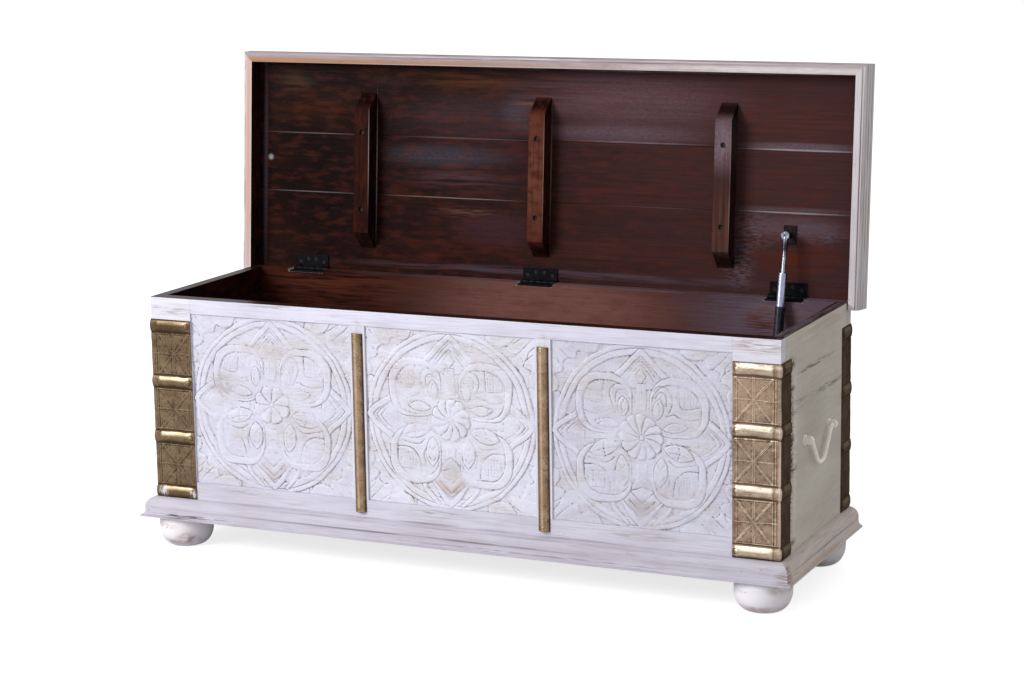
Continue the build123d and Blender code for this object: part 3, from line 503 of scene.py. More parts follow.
def brassStrip(name, x, seed):
    # half-round bar: height = sqrt(R^2 - a^2) - (R - proud) across a, dented, a pressed line along each edge
    d = strip
    rows = int((d["z"][1] - d["z"][0]) / d["step"]) + 1
    across = d["wide"] / 2 * np.sin(np.linspace(-math.pi / 2, math.pi / 2, 25))
    a, z = np.meshgrid(across, np.linspace(*d["z"], rows))
    radius = ((d["wide"] / 2) ** 2 + d["proud"] ** 2) / (2 * d["proud"])
    h = np.sqrt(radius**2 - a**2) - (radius - d["proud"])
    dent = 0.35 * handWobble(a, z, 17, seed) + 0.18 * handWobble(a, z, 5, seed + 1)
    endFlat = smooth(10, 20, z - d["z"][0]) * smooth(10, 20, d["z"][1] - z)
    h = h - endFlat * np.abs(dent) - 0.5 * np.exp(-(((np.abs(a) - d["bead"]) / 0.7) ** 2))
    h = np.clip(h, 0.15, d["proud"] - 0.01)
    # groove: tarnish in the dents and pressed lines, plus a painted shade on the bar's flanks; crest: a painted
    # highlight, a stripe just left of the bar's top
    values = {"groove": np.clip((blurred(h, 2) - h) / 0.5 + 0.8 * smooth(5.6, 9.4, np.abs(a)), 0, 1),
              "crest": 0.6 * smooth(4.0, 1.0, np.abs(a + 1.5))}
    sheets = [np.stack([x + a, y, z], -1).reshape(-1, 3)
              for y in (chest["frontFace"] - h, np.full(h.shape, chest["frontFace"]))]
    faces = closedSheet(rows, len(across))
    return makePiece("brassStrip_" + name, np.concatenate(sheets), faces, "brass_strip_" + name,
                     values)


reliefs = {place: carvedPanel(place, kind) for place, kind in panelKinds.items()}
print("carved panels made")
corners = {
    name: brassCorner(name, sx, sy, seed)
    for name, sx, sy, seed in (("front_right", 1, 1, 51), ("front_left", -1, 1, 61), ("back_right", 1, -1, 71),
                               ("back_left", -1, -1, 81))
}
strips = [brassStrip("left", -strip["x"], 91), brassStrip("right", strip["x"], 95)]
print("brass made")


def partMm(tree, onLid=False):
    # Object coordinates in millimetres; on the lid turned back to the shut lid, with the hinge pin at zero
    source = addNode(tree, "TexCoord").outputs["Object"]
    place = {"Vector": source, "Scale": (1000, 1000, 1000)}
    if onLid:
        angle = math.radians(chest["openAngle"])
        c, s, y, z = math.cos(angle), math.sin(angle), chest["pinY"], chest["pinZ"]
        place["Rotation"] = (angle, 0, 0)
        place["Location"] = (0, -(c * y - s * z), -(s * y + c * z))
    vector = addNode(tree, "Mapping", place).outputs[0]
    split = addNode(tree, "SeparateXYZ", {0: vector}).outputs
    fromMiddle = addNode(tree, "Math", {0: split[0]}, operation="ABSOLUTE").outputs[0]
    return {"all": vector, "x": split[0], "y": split[1], "z": split[2], "fromMiddle": fromMiddle}


def between(tree, value, start, end):
    # 0 at start and beyond, 1 at end and beyond, whichever way round they are
    return addNode(tree, "MapRange", {"Value": value, 1: start, 2: end},
                   interpolation_type="SMOOTHSTEP").outputs[0]


def streaks(tree, mm, size, low, high, shift=0.0, detail=3.0):
    # noise stretched to a size in millimetres along x, y and z, squeezed to 0..1 between two levels
    place = addNode(tree, "Mapping", {
        "Vector": mm["all"], "Scale": [1 / v for v in size], "Location": (shift, shift * 1.7, shift * 0.6)})
    noise = addNode(tree, "TexNoise", {
        "Vector": place.outputs[0], "Scale": 1.0, "Detail": detail, "Roughness": 0.55})
    return between(tree, noise.outputs[0], low, high)


def combined(tree, operation, *masks):
    # masks joined two by two, by MULTIPLY for both or MAXIMUM for either
    result = masks[0]
    for mask in masks[1:]:
        result = addNode(tree, "Math", {0: result, 1: mask}, operation=operation).outputs[0]
    return result


def both(tree, *masks):
    return combined(tree, "MULTIPLY", *masks)


def layCoats(tree, ground, coats, blend="MIX"):
    # each coat's colour covers the last one by its mask times its strength
    colour = toLinear(ground) if isinstance(ground, str) else ground
    for mask, code, strength in coats:
        amount = both(tree, mask, strength) if isinstance(mask, bpy.types.NodeSocket) else mask * strength
        above = toLinear(code) if isinstance(code, str) else code
        colour = addNode(tree, "Mix", {0: amount, 6: colour, 7: above}, data_type="RGBA",
                         blend_type=blend).outputs[2]
    return colour


def weigh(tree, terms, start=0.0):
    # start plus each value times its weight
    total = start
    for value, weight in terms:
        total = addNode(tree, "Math", {0: value, 1: weight, 2: total}, operation="MULTIPLY_ADD").outputs[0]
    return total


def spot(tree, mm, centre, reach):
    # 1 in the middle of a soft oval, 0 at its edge; a reach of None leaves that axis out
    scale = [0 if r is None else 1 / r for r in reach]
    move = [-c * k for c, k in zip(centre, scale)]
    place = addNode(tree, "Mapping", {"Vector": mm["all"], "Scale": scale, "Location": move})
    far = addNode(tree, "VectorMath", {0: place.outputs[0]}, operation="LENGTH").outputs["Value"]
    return between(tree, far, 1.0, 0.15)


# Noise masks: size in millimetres (along and across the grain, or x, y and z), two levels, shift, detail.
markMasks = {
    "grain": ((34, 2.0), 0.42, 0.6, 33.0, 4),
    "cloud": ((22, 12, 12), 0.30, 0.68, 35.0, 4),
    "long": ((120, 7), 0.35, 0.62, 37.0, 4),
    "mist": ((6, 3), -0.3, 0.9, 38.0, 5),
    "ragged": ((12, 3.5), 0.40, 0.60, 39.0, 5),
}


def makeMasks(tree, mm, axis, rows):
    masks = {}
    for name, (size, *levels) in rows.items():
        if len(size) == 2:
            size = [size[0] if axis == letter else size[1] for letter in "xyz"]
        masks[name] = streaks(tree, mm, size, *levels)
    return masks


def marksOn(axes, rows):
    # a row: a mark's middle and reach along these axes, its colour, strength and, unless it is even, mask
    count, marks = len(axes), []
    for row in rows:
        middle, reach = dict(zip(axes, row)), dict(zip(axes, row[count:]))
        look = (*row[2 * count:], "even")[:3]
        marks.append(([middle.get(a, 0) for a in "xyz"], [reach.get(a) for a in "xyz"], *look))
    return marks


def layMarks(tree, mm, axis, colour, marks):
    # stains, worn places and lines, each laid over the last
    if not marks:
        return colour
    broken = makeMasks(tree, mm, axis, markMasks)
    coats = []
    for centre, reach, code, strength, kind in marks:
        mask = spot(tree, mm, centre, reach)
        coats.append((both(tree, mask, broken[kind]) if kind in broken else mask, code, strength))
    return layCoats(tree, colour, coats)


def pointNumbers(tree, *names):
    # numbers kept on a relief's points
    return [addNode(tree, "Attribute", attribute_name=name).outputs["Fac"] for name in names]


def startFinish(name):
    material = bpy.data.materials.new(name)
    material.use_nodes = True
    material.node_tree.nodes.clear()
    return material, material.node_tree


def endFinish(tree, colour, roughness, height, bumpMm, **constants):
    # one Principled shader with a bump whose height is in millimetres
    bump = addNode(tree, "Bump", {"Height": height, "Distance": bumpMm / 1000, "Strength": 1.0})
    inputs = {"Base Color": colour, "Roughness": roughness, "Normal": bump.outputs[0]}
    inputs.update({key.replace("_", " "): value for key, value in constants.items()})
    shader = addNode(tree, "BsdfPrincipled", inputs)
    addNode(tree, "OutputMaterial", {0: shader.outputs[0]})


limewash = {
    "paint": "#E9E8F3",
    "thin": "#D2CDD9",
    "drag": "#C9C1C6",
    "rubbed": "#A3968D",
    "bare": "#735A45",
    "dirt": "#8E8480",
    "rough": 0.62,
    "lacquered": -0.32,  # added to the roughness where the board is lacquered inside
    "level": 0.03,
    "bump": 0.25,  # millimetres
}
limewashMasks = {
    "cloud": ((150, 45), 0.38, 0.68, 1.3),
    "drag": ((70, 2.2), 0.42, 0.72, 2.1, 4),
    "lines": ((95, 1.5), 0.60, 0.70, 3.7, 4),
    "field": ((130, 26), 0.50, 0.66, 5.9),
    "chips": ((16, 2.6), 0.66, 0.72, 8.2, 5),
    "specks": ((3.0, 3.0), 0.62, 0.75, 9.1),
}
stain = {
    "body": "#1E0C0B",
    "deep": "#140807",
    "warm": "#44200F",
    "red": "#5E2C1E",
    "amber": "#6E3416",
    "gold": "#8A5028",
    # painted sheen: grey-violet and blue standing in for the lacquer's reflection
    "paintedSheen": "#5A4850",
    "blueSheen": "#4C4752",
    "rough": 0.28,
    "level": 0.02,
    "bump": 0.06,
}
stainMasks = {
    "fine": ((140, 3.2), 0.35, 0.75, 12.4, 4),
    "cloud": ((150, 40), 0.42, 0.70, 14.1),
    "glow": ((80, 22), 0.6, 0.8, 17.7, 4),
    "sheenSpeckle": ((7, 2.5), 0.35, 0.8, 18.3, 5),
    "mottle": ((34, 11), 0.46, 0.66, 19.1, 5),
}


def limewashLayers(tree, mm, axis, wear, tone):
    # milky paint dragged over mango wood: streaky cover, rubbed lines along the grain, bare wood in a few
    masks = makeMasks(tree, mm, axis, limewashMasks)
    drag, lines, field = masks["drag"], masks["lines"], masks["field"]
    chipped = both(tree, masks["chips"], field)
    colour = layCoats(tree, limewash["paint"], [
        (masks["cloud"], limewash["thin"], 0.5),
        (drag, limewash["drag"], 0.2 + 0.25 * wear),
        (lines, limewash["rubbed"], 0.35 * wear),
        (both(tree, lines, field), limewash["bare"], 0.5 * wear),
        (chipped, limewash["bare"], 0.7 * wear),
        (masks["specks"], limewash["dirt"], 0.12),
    ])
    colour = layCoats(tree, colour, [(1.0, tone, 1.0)], "MULTIPLY")
    return colour, weigh(tree, [(drag, -0.25), (lines, -0.5), (chipped, -0.6)], 0.5)


def stainLayers(tree, mm, axis, marks):
    # dark walnut stain under gloss lacquer: soft streaks, clouds of warm wood, a faint painted bluish sheen for
    # the lacquer's reflection
    masks = makeMasks(tree, mm, axis, stainMasks)
    fine, cloud, sheenSpeckle = masks["fine"], masks["cloud"], masks["sheenSpeckle"]
    colour = layCoats(tree, stain["body"], [
        (cloud, stain["warm"], 0.3), (fine, stain["deep"], 0.3),
        (masks["glow"], stain["amber"], 0.3), (sheenSpeckle, stain["paintedSheen"], 0.09)])
    colour = layCoats(tree, layMarks(tree, mm, axis, colour, marks), [
        (fine, stain["deep"], 0.14), (masks["mottle"], stain["red"], 0.25),
        (both(tree, fine, sheenSpeckle), stain["deep"], 0.3)])
    return colour, weigh(tree, [(fine, 0.3), (cloud, 0.5)])


def paintedBoard(name, axis, onLid=False, wear=1.0, tone="#FFFFFF", marks=(), inside=(), insideMarks=()):
    # mango board, limewashed outside and lacquered dark past the planes in inside (letter, start, end)
    material, tree = startFinish(name)
    mm = partMm(tree, onLid)
    colour, height = limewashLayers(tree, mm, axis, wear, tone)
    colour = layMarks(tree, mm, axis, colour, marks)
    roughness = limewash["rough"]
    if inside:
        planes = [between(tree, mm[letter], start, end) for letter, start, end in inside]
        dark = combined(tree, "MAXIMUM", *planes)
        stained, stainHeight = stainLayers(tree, mm, axis, insideMarks)
        colour = layCoats(tree, colour, [(dark, stained, 1.0)])
        roughness = weigh(tree, [(dark, limewash["lacquered"])], roughness)
        height = addNode(tree, "Mix", {0: dark, 2: height, 3: stainHeight}).outputs[0]
    endFinish(tree, colour, roughness, height, limewash["bump"], Specular_IOR_Level=limewash["level"])
    return material


def stainedBoard(name, axis, onLid=False, marks=()):
    # mango wood with dark walnut stain and gloss lacquer: dark red-brown with a soft mirror over the grain
    material, tree = startFinish(name)
    mm = partMm(tree, onLid)
    colour, height = stainLayers(tree, mm, axis, marks)
    endFinish(tree, colour, stain["rough"], height, stain["bump"], Specular_IOR_Level=stain["level"])
    return material


carvedPaint = {
    "wear": 0.3,
    "warm": "#CFC9C4",
    "cool": "#DCE0EE",
    "shade": "#AFA7AC",
    "dust": "#6A6064",
    "scratch": "#A2979A",
    "crest": "#F1F1F9",
    "tea": "#A5835F",
    "rough": 0.66,
    "level": 0.2,
    "bump": 0.22,
}
carvedMasks = {
    "dust": ((34, 34, 26), 0.38, 0.66, 41.0),
    "fade": ((20, 20, 16), 0.36, 0.62, 42.0),
    "scratch": ((22, 22, 1.6), 0.52, 0.68, 43.0, 4),
    "patch": ((55, 55, 40), 0.45, 0.66, 44.0),
    "cool": ((60, 60, 46), 0.45, 0.62, 46.0),
}


def carvedFinish(name, tone, marks):
    # limewashed carving: pale crests, a painted grey shade over the cuts, thin uneven grey-brown dust in them,
    # a few tea-coloured patches
    material, tree = startFinish(name)
    mm = partMm(tree)
    d = carvedPaint
    colour, height = limewashLayers(tree, mm, "x", d["wear"], tone)
    groove, crest, stained = pointNumbers(tree, "groove", "crest", "stain")
    masks = makeMasks(tree, mm, "x", carvedMasks)
    scratch, patch = masks["scratch"], masks["patch"]
    dusty = weigh(tree, [(masks["dust"], 0.85)], 0.15)
    faded = weigh(tree, [(masks["fade"], 0.7)], 0.3)
    colour = layCoats(tree, colour, [
        (patch, d["warm"], 0.5),
        (masks["cool"], d["cool"], 0.35),
        # painted shade: a grey laid over the cuts from the groove number
        (both(tree, between(tree, groove, 0.05, 0.8), faded), d["shade"], 0.55),
        (both(tree, between(tree, groove, 0.25, 0.9), dusty), d["dust"], 0.95),
        (both(tree, scratch, patch), d["scratch"], 0.6),
        (crest, d["crest"], 0.3),
        (both(tree, stained, weigh(tree, [(scratch, 0.2), (dusty, 0.5)], 0.4)), d["tea"], 0.9),
    ])
    colour = layMarks(tree, mm, "x", colour, marks)
    height = weigh(tree, [(height, 1.0), (scratch, -0.4)])
    endFinish(tree, colour, d["rough"], height, d["bump"], Specular_IOR_Level=d["level"])
    return material


brassMasks = {
    "cloud": ((26, 26, 22), 0.35, 0.65, 51.0),
    "speck": ((1.9, 1.9, 1.9), 0.48, 0.62, 53.0, 2),
    "field": ((30, 30, 18), 0.34, 0.54, 54.0),
    "rub": ((24, 24, 5), 0.32, 0.58, 55.0),
    "dents": ((5, 5, 5), 0.2, 0.8, 57.0, 2),
}
# painted shade: the sheet behind the front face, on the chest's sides and at the back, is darkened nearly to
# black
brassSideShade = {
    "start": -0.6,  # millimetres behind the front face: where the dark begins and where it is full
    "full": 1.0,
    "bare": "#3C2C21",
    "dark": "#221812",
    "speck": "#54432F",
    "crest": "#7C6C4E",
    "cover": 0.92,
}


def brassFinish(name, bright, tarnish, dirt, polishAndHighlight, marks=(), polishAndHighlightFrom=0.1):
    # beaten sheet brass, aged to a dull pinkish tan: rubbed gold on what stands up, a painted highlight on what
    # faces up, brown-black patina in the pressed lines, a painted shade on what faces down, and near-black
    # painted shade behind the front face
    material, tree = startFinish(name)
    mm = partMm(tree)
    groove, crest = pointNumbers(tree, "groove", "crest")
    masks = makeMasks(tree, mm, "z", brassMasks)
    cloud, speck = masks["cloud"], masks["speck"]
    # crest brings rubbed polish on proud places and a painted highlight on upward-facing slopes
    rubbed = both(tree, between(tree, crest, polishAndHighlightFrom, polishAndHighlightFrom + 0.65),
                  weigh(tree, [(masks["rub"], 0.55)], 0.45))
    colour = layCoats(tree, bright, [
        (cloud, tarnish, 0.6),
        (both(tree, speck, masks["field"]), dirt, 0.65),
        # the groove coat: patina in the pressed lines and a painted shade on downward-facing slopes
        (between(tree, groove, 0.12, 0.95), dirt, 0.8),
        (rubbed, polishAndHighlight, 0.9),
    ])
    colour = layMarks(tree, mm, "z", colour, marks)
    # painted shade: behind the front face the brass is covered with a near-black tone and made less metallic
    d = brassSideShade
    sideShade = between(tree, mm["y"], chest["frontFace"] + d["start"], chest["frontFace"] + d["full"])
    sideShadeTone = layCoats(tree, d["bare"], [
        (cloud, d["dark"], 0.6), (speck, d["speck"], 0.3), (crest, d["crest"], 0.5)])
    colour = layCoats(tree, colour, [(sideShade, sideShadeTone, d["cover"])])
    rough = weigh(tree, [(cloud, 0.14), (groove, 0.2)], 0.36)
    metallic = weigh(tree, [(sideShade, -0.75)], 0.85)
    endFinish(tree, colour, rough, masks["dents"], 0.25, Metallic=metallic, Specular_IOR_Level=0.0)
    return material


def metalFinish(name, code, dark, roughness, metallic, fleck=0.4, size=3.0, bump=0.08, marks=(), level=0.5):
    # a coated or bare metal part: even colour with worn or dirty flecks
    material, tree = startFinish(name)
    mm = partMm(tree)
    cloud = streaks(tree, mm, (size * 4,) * 3, 0.4, 0.7, 61.0)
    flecks = streaks(tree, mm, (size,) * 3, 0.55, 0.68, 63.0, 3)
    colour = layMarks(tree, mm, "z", layCoats(tree, code, [(cloud, dark, 0.35), (flecks, dark, fleck)]), marks)
    rough = weigh(tree, [(flecks, 0.15), (cloud, 0.1)], roughness)
    endFinish(tree, colour, rough, flecks, bump, Metallic=metallic, Specular_IOR_Level=level)
    return material


# Marks on the lid are in the shut lid's place: y is minus the distance from the hinge pin.
# Painted light: the grey-violet and blue marks are a painted sheen for the lacquer's reflection, and the thin
# pale lines along the plank joints (y about -143 to -149 and -251 to -257) and beside the left and middle
# battens (x -331 and 16) are painted highlights.
lidMarks = marksOn("xy", [
    (660, 0, 1000, None, "#4A2F2F", 0.85), (-150, -355, 150, 26, "#6A3E24", 0.7, "long"),
    (-300, -352, 60, 20, "#51342F", 0.7, "cloud"), (-470, -298, 120, 46, "#4E2412", 0.75, "long"),
    (-500, -345, 60, 30, "#52402F", 0.6, "long"), (-530, -205, 40, 24, "#3A1A0E", 0.7),
    (-520, -95, 75, 60, "#2E1109", 0.8, "long"), (-455, -90, 90, 70, "#180909", 0.7),
    (-430, -195, 70, 40, "#1E1214", 0.7), (-140, -290, 210, 66, stain["paintedSheen"], 0.3, "mist"),
    (-50, -300, 46, 40, stain["blueSheen"], 0.8, "mist"), (-20, -318, 60, 10, stain["gold"], 0.6, "long"),
    (-190, -218, 180, 30, stain["blueSheen"], 0.75, "mist"), (-160, -175, 150, 30, "#5A4046", 0.6, "long"),
    (-180, -199, 34, 9, "#5E3020", 0.7, "long"), (-160, -60, 170, 34, "#451F14", 0.75, "long"),
    (-150, -118, 90, 14, "#7B5548", 0.5, "grain"), (-90, -90, 120, 44, "#4B3038", 0.7, "mist"),
    (60, -335, 200, 60, "#5C4248", 0.6, "long"), (150, -268, 240, 24, "#6A5862", 0.8, "mist"),
    (160, -160, 220, 34, "#522B27", 0.6, "long"), (150, -60, 200, 36, "#4E2B27", 0.6, "long"),
    (190, -322, 260, 72, "#6E535A", 0.75, "mist"), (470, -300, 160, 40, "#55302A", 0.6, "long"),
    (470, -118, 120, 30, "#74606A", 0.8, "mist"), (400, -112, 60, 50, "#66535C", 0.8, "ragged"),
    (470, -72, 110, 50, "#5A2817", 0.85, "cloud"), (520, -110, 60, 30, "#604E57", 0.7, "ragged"),
    (372, -50, 40, 60, "#665963", 0.7, "ragged"), (40, -18, 560, 12, "#5A505A", 0.6, "long"),
    (-250, -16, 120, 9, "#4D3036", 0.7, "long"), (-480, -190, 230, 240, "#050101", 0.68),
    (-250, -370, 330, 70, "#0A0303", 0.45), (-564, -200, 7, 300, "#5C5159", 0.7, "mist"),
    (-553, -204, 8, 8, "#A79E9F", 0.9), (574, -200, 5, 300, "#9A8484", 0.6),
    (200, -378, 480, 3.5, "#8E848C", 0.8, "long"), (-331, -190, 2.2, 170, "#9A9094", 0.8),
    (16, -200, 2.4, 150, "#7A6A6C", 0.7), (-460, -143, 150, 1.7, "#7E7274", 0.9),
    (-180, -143, 190, 1.7, "#948981", 0.9), (200, -143, 150, 1.6, "#6A565A", 0.7),
    (470, -144, 130, 2.2, "#BDB8C0", 0.9), (470, -149, 140, 7, "#6A5C64", 0.7, "mist"),
    (-460, -251, 150, 1.7, "#766A6C", 0.9), (-150, -251, 190, 1.7, "#746668", 0.8),
    (180, -254, 170, 2.2, "#7C6C76", 0.8), (480, -251, 150, 2.6, "#B8B0BA", 0.9),
    (480, -257, 150, 9, "#80747E", 0.7, "mist"),
])
# Painted light: the near-black strips on the battens' right-hand sides and across their sloped ends (y -56 and
# -316) are painted shade, the pale lines along their right-hand edges painted highlights, and the grey-violet
# patch on the right batten a painted sheen.
battenMarks = marksOn("xyz", [
    (-347, 0, 0, 60, None, None, "#3A190F", 0.6, "long"), (0, 0, 0, 60, None, None, "#52281F", 0.9),
    (0, -190, -27, 60, 190, None, "#85523F", 0.5, "cloud"),
    (347, 0, 0, 60, None, None, "#4C3230", 0.8),
    (347, -262, -27, 60, 70, None, "#8A7882", 0.9, "mist"),
    (347, -110, -27, 60, 90, None, "#6E4B3E", 0.55, "long"),
    (-331.7, 0, -12, 1.2, None, None, "#180B09", 0.85),
    (15.3, 0, -12, 1.2, None, None, "#1A0D0B", 0.85),
    (362.3, 0, -12, 1.2, None, None, "#1C1110", 0.85),
    (0, -56, 0, None, 19, None, "#1A0B09", 0.92),
    (0, -316, 0, None, 19, None, "#170A09", 0.92),
    (-332.6, -220, -26.6, 1.3, 140, 2.0, "#A89C98", 0.7),
    (14.4, -200, -26.6, 1.3, 150, 2.0, "#A58D80", 0.7, "long"),
    (361.4, -190, -26.6, 1.3, 150, 2.0, "#A8968F", 0.7, "long"),
])
wallMarks = marksOn("xz", [
    (-420, 420, 230, 90, "#552B20", 0.85, "long"), (40, 400, 400, 150, "#8C5E56", 0.85),
    (-330, 425, 260, 26, "#5A3122", 0.6, "long"), (480, 400, 260, 150, "#786674", 0.85),
    (455, 420, 70, 26, "#8A6A5A", 0.7, "grain"), (430, 400, 60, 34, "#5A2412", 0.8, "grain"),
    # painted sheen: the grey-violet line on the back board's dark top edge
    (100, 446, 560, 2.5, "#6D6168", 0.8, "long"),
])
frontMarks = marksOn("xz", [
    (-540, 425, 70, 14, "#8F8279", 0.6, "grain"), (-330, 441, 90, 5, "#8F8279", 0.5, "grain"),
    (540, 432, 75, 18, "#A38A7C", 0.75, "grain"), (-170, 420, 13, 12, "#7F7168", 0.4, "ragged"),
    (170, 420, 13, 12, "#7F7168", 0.4, "ragged"), (0, 446, 600, 2.6, "#F4EFF2", 0.8),
])
lowMarks = marksOn("xz", [
    (-20, 108, 85, 9, "#877A70", 0.7, "grain"), (340, 106, 90, 10, "#94877C", 0.5, "grain"),
    (-400, 112, 80, 7, "#94877C", 0.5, "grain"), (0, 90, 620, 2.0, "#7E7573", 0.7, "long"),
])
plinthMarks = marksOn("xz", [
    (0, 71, 640, 2.6, "#6F6866", 0.8, "long"), (0, 86, 640, 2.0, "#8F8887", 0.5, "long"),
    (-500, 62, 120, 2.6, "#33261F", 0.95, "grain"), (-520, 59, 90, 5, "#5A463A", 0.7, "grain"),
    (150, 62, 400, 2.4, "#6E645E", 0.6, "grain"), (590, 66, 26, 20, "#8A7362", 0.7, "grain"),
])
endMarks = marksOn("yz", [
    (0, 432, 220, 22, "#B09A92", 0.5, "long"), (-10, 376, 150, 6, "#5E554E", 0.85, "grain"),
    (60, 326, 120, 8, "#636455", 0.75, "grain"), (-120, 330, 90, 6, "#636455", 0.7, "grain"),
    (30, 210, 200, 26, "#C3C2B4", 0.5, "long"), (-112, 250, 14, 190, "#FFFFFF", 0.4, "ragged"),
    (-133, 260, 17, 190, "#3A2A20", 1.0, "ragged"), (-130, 398, 34, 14, "#2E211B", 0.95, "cloud"),
    (-132, 357, 26, 8, "#3A2C24", 0.9, "cloud"), (-122, 318, 38, 9, "#6E6860", 0.8, "grain"),
    (-132, 274, 30, 12, "#3E2F26", 0.9, "cloud"), (-124, 224, 36, 12, "#4E4036", 0.85, "grain"),
    (-128, 104, 34, 10, "#5A4231", 0.9, "cloud"), (-20, 300, 90, 90, "#8E8C7C", 0.35, "mist"),
    (20, 190, 120, 60, "#E4E2D6", 0.35, "mist"),
])
plinthEndMarks = marksOn("yz", [
    (-195, 70, 22, 26, "#6E553F", 0.8, "grain"), (0, 71, 260, 2.2, "#7F786C", 0.7, "long"),
    (0, 60, 240, 5, "#B7A48F", 0.6, "long"),
])
# painted light: the two broad near-white marks over the feet stand in for the light the white floor throws up
# on them
footMarks = marksOn("xz", [
    (538, 30, 90, 34, "#FFFDFE", 0.85), (-538, 34, 90, 32, "#FFF8F8", 0.85),
    (-515, 20, 26, 15, "#8C6453", 0.75, "cloud"), (-560, 40, 40, 8, "#8C7669", 0.6, "grain"),
    (-538, 12, 60, 8, "#9B8478", 0.6, "cloud"), (538, 10, 60, 9, "#B59A85", 0.7, "cloud"),
    (575, 42, 26, 12, "#B4A08F", 0.6, "cloud"), (520, 38, 24, 5, "#A8A2A4", 0.5, "grain"),
])
rimFrontMarks = marksOn("xyz", [
    (-700, -382, -29, 1300, 12, 3.0, "#A37C66", 0.95),
    (-500, -382, -29, 1100, 9, 3.0, "#B98C6E", 0.7, "long"),
    (380, -384, -29, 520, 11, 3.0, "#D8C8C8", 0.75, "cloud"),
    (430, -386, -29, 240, 6, 3.0, "#EDE6E6", 0.8, "grain"),
    (0, -379.3, -29, 620, 1.6, 2.0, "#E6DFE6", 0.9),
    (-560, -396, -12, 900, 9, 40, "#8F8686", 0.45),
    (480, -385, -29, 420, 9, 3.0, "#F2E6E4", 0.6),
    # painted shade and highlight: the dark lines along the moulding's steps are painted shade in its quirks,
    # the pale line between them a painted highlight
    (0, -391.8, -25, 620, 2.0, 30, "#786A66", 0.9, "long"),
    (0, -394.6, -25, 620, 1.6, 30, "#F4F0F3", 0.9, "long"),
    (0, -397.4, -24, 620, 2.2, 30, "#5E5551", 0.95, "long"),
    (0, -398, -20, 620, 2.0, 2.5, "#746A69", 0.7, "long"),
])
rimSideMarks = marksOn("xyz", [
    (590, -200, -29, 7, 400, 3.0, "#D9CCCE", 0.7, "long"),
    # painted shade: the thin dark lines at x 588.8, 592.6, 595.5 and 596.5 lie in the side rim's moulding steps
    (588.8, -200, -28.5, 2.0, 500, 3.0, "#54494A", 0.9),
    (592.6, -200, -25, 1.1, 500, 30, "#827A78", 0.7, "long"),
    (596, -200, -2, 5, 600, 22, "#E6E4DA", 0.6, "long"),
    (595.5, -200, -19.4, 4, 600, 4, "#4E4743", 0.9),
    (596.5, -200, -8, 3, 600, 4, "#6F665F", 0.85, "long"),
    (596.5, -200, 5, 3, 600, 4, "#6F665F", 0.8, "long"),
    (-583, -200, -29, 9, 500, 3.0, "#CFA48E", 0.9),
    (-590, -200, -28, 3, 500, 3.0, "#6C5C54", 0.6, "grain"),
])
brassMarks = marksOn("xz", [
    (520, 350, 70, 62, "#A98F7A", 0.35), (-540, 398, 90, 17, "#4A3726", 0.8),
    (-540, 98, 90, 14, "#5A4632", 0.7), (500, 404, 12, 8, "#4A2E22", 0.85, "cloud"),
    (575, 250, 4.5, 220, "#C8B09C", 0.7, "long"), (535, 240, 60, 60, "#766656", 0.3),
    (500, 150, 10, 60, "#6B4433", 0.6, "cloud"), (-562, 100, 14, 14, "#DAD4D3", 0.8, "ragged"),
    (-503, 98, 12, 12, "#DAD4D3", 0.8, "ragged"),
])
stripMarks = marksOn("xz", [
    (-170, 250, 8, 120, "#A07A62", 0.5, "cloud"), (170, 250, 8, 120, "#A07A62", 0.5, "cloud"),
    (0, 404, 400, 9, "#5A4030", 0.6, "cloud"), (0, 150, 400, 40, "#8A5F48", 0.4, "cloud"),
])

ends = ("left", "right")
hinges = ["hinge_" + leaf + "_leaf_" + place
          for leaf in ("lower", "upper") for place in ("left", "middle", "right")]
feet = ["foot_" + row + end for row in ("front_", "back_") for end in ends]
planks = ["lid_plank_" + row for row in ("front", "middle", "back")]
battens = ["lid_batten_" + place for place in panelKinds]
boards = {"ends": ["side_board_" + end for end in ends], "stiles": ["front_stile_" + end for end in ends],
          "muntins": ["front_muntin_" + end for end in ends], "rims": ["lid_rim_" + end for end in ends],
          "plinthEnds": ["plinth_" + end for end in ends]}
# planes past which a board is stained and lacquered: axis, start and end of the change
frontIn, topIn = ("y", -162.0, -161.4), ("z", 445.2, 445.8)
